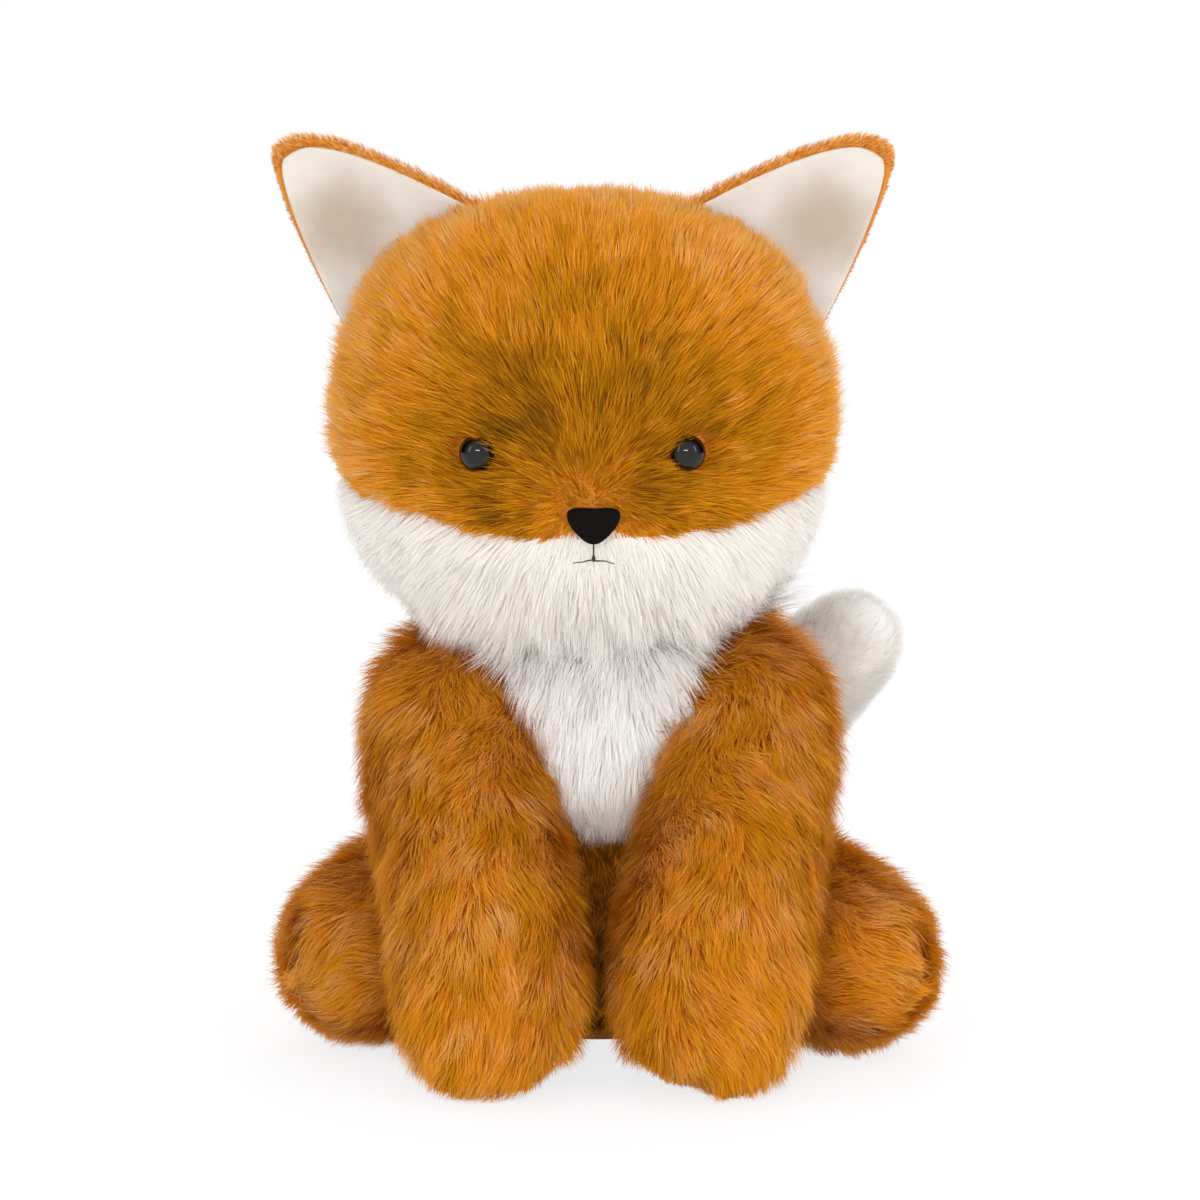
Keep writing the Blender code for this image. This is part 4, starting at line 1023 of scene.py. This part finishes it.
class FOX_OT_body(bpy.types.Operator):
    """Sews the body with its white bib and seat panel, and grows their pile"""

    bl_idname = "fox.body"
    bl_label = "Body"

    def execute(self, context):
        mesh, backing, _ = form("body", body_cage)
        panels = (("body", "Orange", "body_skin"), ("chest_bib", "White", "chest_bib"))
        for panel, colour, packed in panels:
            white = colour == "White"
            name = f"{panel}_backing"
            place_piece(
                name, part_of(mesh, name, lambda p: (bib_share(p) > 0) == white),
                f"{colour} knitted backing", "body", packed,
            )
        found = limbs()

        def seen(places, normals):
            kept = outside_head(places, 8 * MM) & (places[:, 2] > 1 * MM) & (normals[:, 2] > -0.93)
            for limb in found.values():
                kept &= outside_limb(places, limb, 9 * MM)
            return kept

        def clear_of_arms(places):
            arms = [found[f"{side}_arm"] for side in SIDES]
            return np.all([outside_limb(places, arm, 0.5 * MM) for arm in arms], axis=0)

        def between_legs(places):
            """1 in the hollow below the bib, where the arms meet in front of the body. The body's
            pile is shorter there, and tinted darker as painted shade.
            """
            inner = under(np.abs(places[:, 0] - 4 * MM), 26, 8)
            return under(places[:, 2], 70, 14) * inner * (places[:, 1] < 0)

        def bib_top(places):
            return over(places[:, 2], 96, 16)

        add_pile(
            "body_fur", backing, Pile(sizes().body_pile, 2.4, seed=31, pull=0.3),
            # Painted shade: the body's pile is tinted darker in the hollow between the arms
            comb_body, lambda p: 0.46 - 0.6 * between_legs(p),
            "body", "orange_long_pile", "body_skin",
            keep=lambda p, n: seen(p, n) & (bib_share(p) <= 0),
            shorten=lambda p: (1 - 0.65 * between_legs(p)) * (1 + 0.3 * at_floor(p)),
            stand=lambda p: 1 - 0.55 * at_floor(p),
        )
        add_pile(
            "chest_bib_fur", backing,
            Pile(sizes().bib_pile, 5, seed=41, lean=(36, 72), tuft=4 * MM, pull=0.2, curl=0.08,
                 swirl=14, uneven=0.18),
            # Painted shade darkens the bib's strands towards its foot; their paler start, above the
            # muzzle's 0.45, is painted light against the head's shade
            (0.0, 0.0, -1.0), lambda p: 0.85 - 0.82 * under(p[:, 2], 82, 20) ** 0.65,
            "body", "white_long_pile", "chest_bib",
            keep=lambda p, n: seen(p, n) & (bib_share(p) > 0) & clear_of_arms(p),
            shorten=lambda p: 1 + 0.8 * bib_top(p) - 0.6 * under(p[:, 2], 77, 16),
            stand=lambda p: 1 - 0.5 * bib_top(p),
        )
        # The seat's cloth: a disc with a rolled edge, as far inside the outline as the backing
        edge = ((0, 0.4), (0.94, 0.4), (0.98, 0.9), (1, 2), (0.98, 3.1), (0.93, 3.8), (0, 4.4))
        cloth = lathe("seat_panel_cloth", [(share, height * MM) for share, height in edge])
        spread = Matrix.Diagonal((*SEAT_HALF, 1, 1))
        cloth.transform(Matrix.Translation((0, SEAT_BACK, 0)) @ spread)
        place_piece(
            "seat_panel_cloth", cloth, "Brown woven base cloth", "body",
            "seat_panel",
        )
        repaint("pellet_bag", "Grey cotton calico")
        repaint("body_stuffing", "White fibre fill")
        return {"FINISHED"}


def repaint(name, look):
    """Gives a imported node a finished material."""
    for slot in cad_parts[name].material_slots:
        slot.material = looks(look)


def between_paws(places):
    """The pile is worn short where the paws meet the floor side by side."""
    inner = under(np.abs(places[:, 0] - 5 * MM), 24, 6)
    return 1 - 0.6 * under(places[:, 2], 18, 8) * inner


class FOX_OT_limbs(bpy.types.Operator):
    """Sews the arms and legs and grows their pile"""

    bl_idname = "fox.limbs"
    bl_label = "Arms and legs"

    def execute(self, context):
        for name, seed in LIMB_SEEDS.items():
            limb = limbs()[name]
            side, kind = name.split("_")
            sign, arm = SIDES[side], kind == "arm"
            mesh, backing, _ = form(name, lambda: limb_cage(limb))
            place_piece(
                f"{name}_backing", mesh, "Orange knitted backing", name,
                f"{name}_skin",
            )
            bias = (sign * 0.35, 0, -0.3) if arm else (sign * 0.5, -0.1, -0.15)
            add_pile(
                f"{name}_fur", backing,
                Pile(sizes().limb_pile, 3.4, seed=seed, lean=(46, 76), curl=0.18),
                # Painted light: the arms' and legs' pile is tinted paler than the body's, against
                # the shade they stand in
                comb_limb(limb, bias), 0.52 if arm else 0.56, name, "orange_long_pile",
                f"{name}_skin",
                keep=lambda p, n: outside_body(p, 6 * MM) & outside_head(p, 6 * MM),
                shorten=lambda p: (between_paws(p) if arm else 0.85) * (1 - 0.25 * at_floor(p)),
                stand=lambda p: 1 - 0.3 * at_floor(p),
            )
            repaint(f"{name}_stuffing", "White fibre fill")
        return {"FINISHED"}


class FOX_OT_tail(bpy.types.Operator):
    """Sews the tail from its orange root and white tip, and grows their pile"""

    bl_idname = "fox.tail"
    bl_label = "Tail"

    def execute(self, context):
        limb = limbs()["tail"]
        mesh, backing, _ = form("tail", lambda: limb_cage(limb), TAIL_DEPTH)
        middle = bezier(limb[0], TAIL_SEAM)
        along = bezier_direction(limb[0], TAIL_SEAM)
        panels = (
            ("tail", "Orange", "orange_long_pile", along),
            ("tail_tip", "White", "white_short_pile", -along),
        )
        for panel, colour, slot, way in panels:
            name = f"{panel}_backing"
            place_piece(
                name, parted_mesh(mesh, name, middle, way), f"{colour} knitted backing", "tail",
                f"{panel}_skin",
            )

        def past_seam(places):
            return (places - np.array(middle)) @ np.array(along) > 0

        add_pile(
            "tail_fur", backing, Pile(sizes().body_pile, 2.4, seed=111, pull=0.3),
            comb_limb(limb), 0.5, "tail", "orange_long_pile", "tail_skin",
            keep=lambda p, n: ~past_seam(p) & outside_body(p, 6 * MM),
        )
        add_pile(
            "tail_tip_fur", backing,
            Pile(sizes().tip_pile, 8, seed=121, lean=(25, 62), tuft=2 * MM, pull=0.12, curl=0.05,
                 swirl=10, uneven=0.15, width=0.9),
            comb_limb(limb), 0.9, "tail", "white_short_pile", "tail_tip_skin",
            keep=lambda p, n: past_seam(p),
        )
        repaint("tail_stuffing", "White fibre fill")
        return {"FINISHED"}


class Ear:
    """Where one ear stands: its root, the way to its tip, and the way across to its outer edge."""

    def __init__(self, side):
        sign = SIDES[side]
        self.root = HEAD_CENTRE + Vector((sign * EAR_ROOT.x, EAR_ROOT.y, EAR_ROOT.z))
        self.along = Vector((sign * math.sin(EAR_TURN), 0, math.cos(EAR_TURN)))
        self.aside = Vector((math.cos(EAR_TURN), 0, -sign * math.sin(EAR_TURN))) * sign

    def half_width(self, share, outer, inset=0):
        """From the ear's middle line to its edge, on its full upper side or straight outer side."""
        wide, power = EAR_OUTER if outer else EAR_INNER
        return (wide - inset) * np.maximum(1 - share, 0) ** power

    def from_rims(self, places):
        """How far in from the ear's inner and outer rims these places lie."""
        apart = places - np.array(self.root)
        tuck = EAR_TUCK / EAR_LENGTH
        share = (apart @ np.array(self.along) / EAR_LENGTH + tuck) / (1 + tuck)
        across = apart @ np.array(self.aside)
        return self.half_width(share, False) + across, self.half_width(share, True) - across


def ear_sheet(name, ear, insets, back, thickness):
    """One layer of an ear, cupped forwards and closed, this far in from its tip and both rims."""
    length = EAR_LENGTH - insets[0]
    tuck = EAR_TUCK / length
    bm = bmesh.new()
    bmesh.ops.create_grid(bm, x_segments=12, y_segments=24, size=1)
    for vert in bm.verts:
        across = vert.co.x
        share = (vert.co.y + 1) / 2
        half = float(ear.half_width(share, across > 0, insets[2 if across > 0 else 1]))
        rise = share * (1 + tuck) - tuck
        cup = EAR_CUP * (across**2 * (half / (EAR_WIDTH / 2)) - share)
        place = ear.root + ear.along * rise * length + ear.aside * across * half
        vert.co = place + Vector((0, back - cup, 0))
    bmesh.ops.remove_doubles(bm, verts=bm.verts, dist=0.05 * MM)
    bmesh.ops.recalc_face_normals(bm, faces=bm.faces)
    front = max(bm.faces, key=lambda face: face.calc_area()).normal.y < 0
    bmesh.ops.translate(bm, verts=bm.verts, vec=(0, thickness / 2 * (-1 if front else 1), 0))
    bmesh.ops.solidify(bm, geom=bm.faces[:], thickness=thickness)
    mesh = smoothed(name, bm, 1)
    places = Surface(mesh).places - np.array(ear.root)
    across, along = places @ np.array(ear.aside), places @ np.array(ear.along)
    flat = np.stack([across / EAR_WIDTH + 0.5, along / EAR_LENGTH * 0.8 + 0.18])
    corners = np.empty(len(mesh.loops), dtype=np.int32)
    mesh.loops.foreach_get("vertex_index", corners)
    layer = mesh.uv_layers.new(name="OFBake")
    layer.data.foreach_set("uv", np.clip(flat.T[corners], 0.001, 0.999).astype(np.float32).ravel())
    return mesh


class FOX_OT_ears(bpy.types.Operator):
    """Sews the ears from their orange backs and smooth linings"""

    bl_idname = "fox.ears"
    bl_label = "Ears"

    def execute(self, context):
        for i, side in enumerate(SIDES):
            ear = Ear(side)
            name = f"{side}_ear_backing"
            back = ear_sheet(name, ear, (1.2 * MM, 1.4 * MM, 0.5 * MM), 0.4 * MM, 2.4 * MM)
            place_piece(
                name, back, "Orange knitted backing", "head",
                f"{side}_ear_back",
            )
            name = f"{side}_ear_velour"
            lining = ear_sheet(name, ear, (4.4 * MM, 3.4 * MM, 0.8 * MM), -1.9 * MM, 1.4 * MM)
            place_piece(
                name, lining, "Off-white brushed velour", "head",
                f"{side}_ear_lining",
            )

            def rim_fur(places, normals):
                inner, outer = ear.from_rims(places)
                front = (inner < 5.2 * MM) & (outer > 1.5 * MM) | (inner + outer < 15 * MM)
                return outside_head(places, 3 * MM) & ((normals[:, 1] > 0.1) | front)

            add_pile(
                f"{side}_ear_fur", Surface(back),
                Pile(sizes().ear_pile, 7, seed=131 + 10 * i, lean=(32, 62), tuft=1.6 * MM,
                     swirl=14, width=0.8),
                np.array(ear.along) + np.array((0, 0.15, 0)), 0.7, "head", "orange_short_pile",
                f"{side}_ear_back",
                keep=rim_fur, shorten=lambda p: 0.25 + 0.75 * over(ear.from_rims(p)[1], 0, 5),
            )
        return {"FINISHED"}


def lathe(name, profile):
    """A smooth surface turned about Z from (radius, height) points."""
    bm = bmesh.new()
    verts = [bm.verts.new((r, 0, z)) for r, z in profile]
    edges = [bm.edges.new(pair) for pair in zip(verts, verts[1:])]
    bmesh.ops.spin(
        bm, geom=verts + edges, cent=(0, 0, 0), axis=(0, 0, 1), angle=math.tau, steps=64,
        use_merge=True,
    )
    bmesh.ops.remove_doubles(bm, verts=bm.verts, dist=0.01 * MM)
    bmesh.ops.recalc_face_normals(bm, faces=bm.faces)
    return drawn(name, bm)


class FOX_OT_eyes(bpy.types.Operator):
    """Sets the polished safety eyes"""

    bl_idname = "fox.eyes"
    bl_label = "Eyes"

    def execute(self, context):
        fittings, _ = face_fittings()
        radius = sizes().eye
        high = 0.94 * radius
        angles = [i / 20 * math.pi / 2 for i in range(1, 21)]
        dome = [(0, high)] + [(radius * math.sin(a), high * math.cos(a)) for a in angles]
        shank = [(radius * 0.96, -0.5 * MM), (1.5 * MM, -0.5 * MM), (1.5 * MM, -10 * MM)]
        for side in SIDES:
            mesh = lathe(f"{side}_eye_dome", dome + shank)
            set_on_face(mesh, *fittings[side], 1.3 * MM)
            place_piece(
                f"{side}_eye_dome", mesh, "Black polished ABS", "head", f"{side}_eye"
            )
            repaint(f"{side}_eye_washer", "Natural moulded nylon")
        return {"FINISHED"}


def nose_cage():
    """A rounded triangle that dips above, bulges at its sides and narrows below."""
    bm = bmesh.new()
    bmesh.ops.create_cube(bm, size=2)
    bmesh.ops.subdivide_edges(bm, edges=bm.edges[:], cuts=1, use_grid_fill=True)
    half = Vector((14.4, 9.6, 5.6)) * MM / 2
    for vert in bm.verts:
        x, y, z = vert.co
        wide = {1: 1, 0: 0.93, -1: 0.24}[round(y)]
        dip = 0.2 if y > 0.5 and abs(x) < 0.5 else 0
        vert.co = Vector((x * half.x * wide, (y - dip) * half.y, z * half.z))
    return bm


class FOX_OT_nose(bpy.types.Operator):
    """Sets the flocked nose and stitches the mouth below it"""

    bl_idname = "fox.nose"
    bl_label = "Nose and mouth"

    def execute(self, context):
        fittings, face = face_fittings()
        mesh = smoothed("nose_flocked", nose_cage(), 4)
        mesh.shade_smooth()
        set_on_face(mesh, *fittings["nose"], 1.1 * MM)
        place_piece("nose_flocked", mesh, "Black flocked plastic", "head", "nose")
        repaint("nose_washer", "Natural moulded nylon")
        repaint("head_stuffing", "White fibre fill")
        self.stitch_mouth(face, fittings["nose"][0])
        return {"FINISHED"}

    def stitch_mouth(self, face, spot):
        """One upright stitch, two that droop from its foot, and the knot between them."""
        top = spot.z - 4.4 * MM
        foot = top - MOUTH_DROP
        raised = Vector((0, 1.0 * MM, 0))
        levels = [top + (foot - top) * i / 4 for i in range(5)]
        upright = [face_point(face, spot.x, level) + raised for level in levels]
        shares = [i / 8 for i in range(-8, 9)]
        drooping = []
        for share in shares:
            sag = 0.9 * MM * abs(share) ** 1.5 + 0.12 * MM * math.sin(share * 9)
            drooping.append(face_point(face, spot.x + share * MOUTH_HALF, foot - sag) + raised)
        knot = [upright[-1] + Vector((0, -0.2 * MM, (3 - i) * 0.5 * MM)) for i in range(5)]
        bm = bmesh.new()
        add_thread(bm, upright, [THREAD] * 5)
        add_thread(bm, drooping, [THREAD * (1 - 0.45 * abs(share)) for share in shares])
        add_thread(bm, knot, [radius * MM for radius in (0.1, 0.4, 0.5, 0.4, 0.1)])
        place_piece(
            "mouth_thread", drawn("mouth_thread", bm), "Black twisted embroidery thread", "head",
            "mouth_stitching",
        )


def add_thread(bm, line, radii, sides=8):
    """A round thread along these places, closed at its ends."""
    rings = []
    for i, place in enumerate(line):
        before, after = line[max(0, i - 1)], line[min(len(line) - 1, i + 1)]
        turn = (after - before).to_track_quat("Z", "Y").to_matrix()
        ring = []
        for k in range(sides):
            angle = k / sides * math.tau
            out = Vector((math.cos(angle), math.sin(angle), 0)) * radii[i]
            ring.append(bm.verts.new(place + turn @ out))
        rings.append(ring)
    for one, other in zip(rings, rings[1:]):
        for k in range(sides):
            bm.faces.new((one[k], one[(k + 1) % sides], other[(k + 1) % sides], other[k]))
    bm.faces.new(rings[0][::-1])
    bm.faces.new(rings[-1])


def seen_straight(tree):
    """1 for the rays that show the backdrop, straight or in gloss or glass, and 0 for its light."""
    ray = node(tree, "LightPath").outputs
    total = ray["Is Camera Ray"]
    for kind in ("Is Glossy Ray", "Is Transmission Ray"):
        total = calculated(tree, "ADD", total, ray[kind], clamp=True)
    return total


class FOX_OT_stage(bpy.types.Operator):
    """Adds the floor, the backdrop, the lamps and the camera"""

    bl_idname = "fox.stage"
    bl_label = "Stage"

    def execute(self, context):
        scene = context.scene
        scene.view_settings.view_transform = "Standard"
        self.add_floor()
        self.light_world()
        for name, row in LAMPS.items():
            self.add_lamp(name, *row)
        camera = bpy.data.cameras.new("camera")
        camera.lens = 137.4
        camera.sensor_width = 36
        camera.shift_y = 0.01
        seat = bpy.data.objects.new("camera", camera)
        look = Vector((0, math.cos(CAMERA_DIP), -math.sin(CAMERA_DIP)))
        seat.location = CAMERA_AIM - look * CAMERA_DISTANCE
        seat.rotation_euler = look.to_track_quat("-Z", "Y").to_euler()
        scene.collection.objects.link(seat)
        scene.camera = seat
        return {"FINISHED"}

    def add_floor(self):
        mesh = bpy.data.meshes.new("floor")
        signs = ((-1, -1), (1, -1), (1, 1), (-1, 1))
        corners = [(x * FLOOR_REACH, y * FLOOR_REACH, 0) for x, y in signs]
        mesh.from_pydata(corners, [], [(0, 1, 2, 3)])
        floor = bpy.data.objects.new("floor", mesh)
        bpy.context.scene.collection.objects.link(floor)
        made, tree, shader = new_material("White studio paper")
        # Matt coated paper, lit to white for the camera except where the toy shades it
        fill(tree, shader, [
            ("Base Color", (0.95, 0.95, 0.95, 1)), ("Roughness", 0.9), ("Specular IOR Level", 0.1),
        ])
        glow = node(tree, "Emission", [("Color", (1, 1, 1, 1)), ("Strength", 1.0)])
        place = node(tree, "TexCoord").outputs["Object"]
        far = node(tree, "VectorMath", [(0, place)], operation="LENGTH").outputs["Value"]
        white = map_range(tree, far, 0.2, 1.0, (0.8, 1.0))
        share = calculated(tree, "MULTIPLY", seen_straight(tree), white)
        mix_shaders(tree, share, shader, glow, "Material Output")
        mesh.materials.append(made)

    def light_world(self):
        """Even light and a white backdrop, which gloss mirrors only from the camera's side."""
        world = bpy.data.worlds.new("studio")
        bpy.context.scene.world = world
        world.use_nodes = True
        tree = world.node_tree
        gloss = node(tree, "LightPath").outputs["Is Glossy Ray"]
        lit = map_range(tree, gloss, 0, 1, (0.94, 0))
        plain = tree.nodes["Background"]
        fill(tree, plain, [("Color", (1, 1, 1, 1)), ("Strength", lit)])
        way = node(tree, "TexCoord").outputs["Generated"]
        along = node(tree, "SeparateXYZ", [(0, way)]).outputs["Y"]
        shown = map_range(tree, gloss, 0, 1, (1, map_range(tree, along, 0.1, -0.5)))
        white = node(tree, "Background", [("Color", (1, 1, 1, 1)), ("Strength", shown)])
        mix_shaders(tree, seen_straight(tree), plain, white, "World Output")

    def add_lamp(self, name, place, size, power, mirrored):
        lamp = bpy.data.lights.new(name, "AREA")
        lamp.shape = "RECTANGLE"
        lamp.size, lamp.size_y = size
        lamp.energy = power
        thing = bpy.data.objects.new(name, lamp)
        thing.location = place
        aim = Vector((0, 0, 0.12)) - Vector(place)
        thing.rotation_euler = aim.to_track_quat("-Z", "Y").to_euler()
        # A softbox that isn't mirrored stays out of the eyes' reflections
        thing.visible_glossy = mirrored
        bpy.context.scene.collection.objects.link(thing)


class FOX_PT_panel(bpy.types.Panel):
    """Lists the fox's sizes and colours, with a button for each step."""

    bl_label = "Plush fox"
    bl_idname = "FOX_PT_panel"
    bl_space_type = "VIEW_3D"
    bl_region_type = "UI"
    bl_category = "Plush fox"

    def draw(self, context):
        layout = self.layout
        for group in (context.scene.fox_sizes, context.scene.fox_colours):
            box = layout.box()
            for name in group.bl_rna.properties.keys():
                if name not in {"rna_type", "name"}:
                    box.prop(group, name)
        for operator in STEPS:
            layout.operator(operator.bl_idname)


STEPS = (
    FOX_OT_stage, FOX_OT_head, FOX_OT_body, FOX_OT_limbs, FOX_OT_tail, FOX_OT_ears,
    FOX_OT_eyes, FOX_OT_nose,
)
CLASSES = (FoxSizes, FoxColours, *STEPS, FOX_PT_panel)


def register():
    for cls in CLASSES:
        bpy.utils.register_class(cls)
    bpy.types.Scene.fox_sizes = bpy.props.PointerProperty(type=FoxSizes)
    bpy.types.Scene.fox_colours = bpy.props.PointerProperty(type=FoxColours)


def unregister():
    del bpy.types.Scene.fox_sizes
    del bpy.types.Scene.fox_colours
    for cls in reversed(CLASSES):
        bpy.utils.unregister_class(cls)


def main():
    register()
    for operator in STEPS:
        group, name = operator.bl_idname.split(".")
        getattr(getattr(bpy.ops, group), name)()


if __name__ == "__main__":
    main()
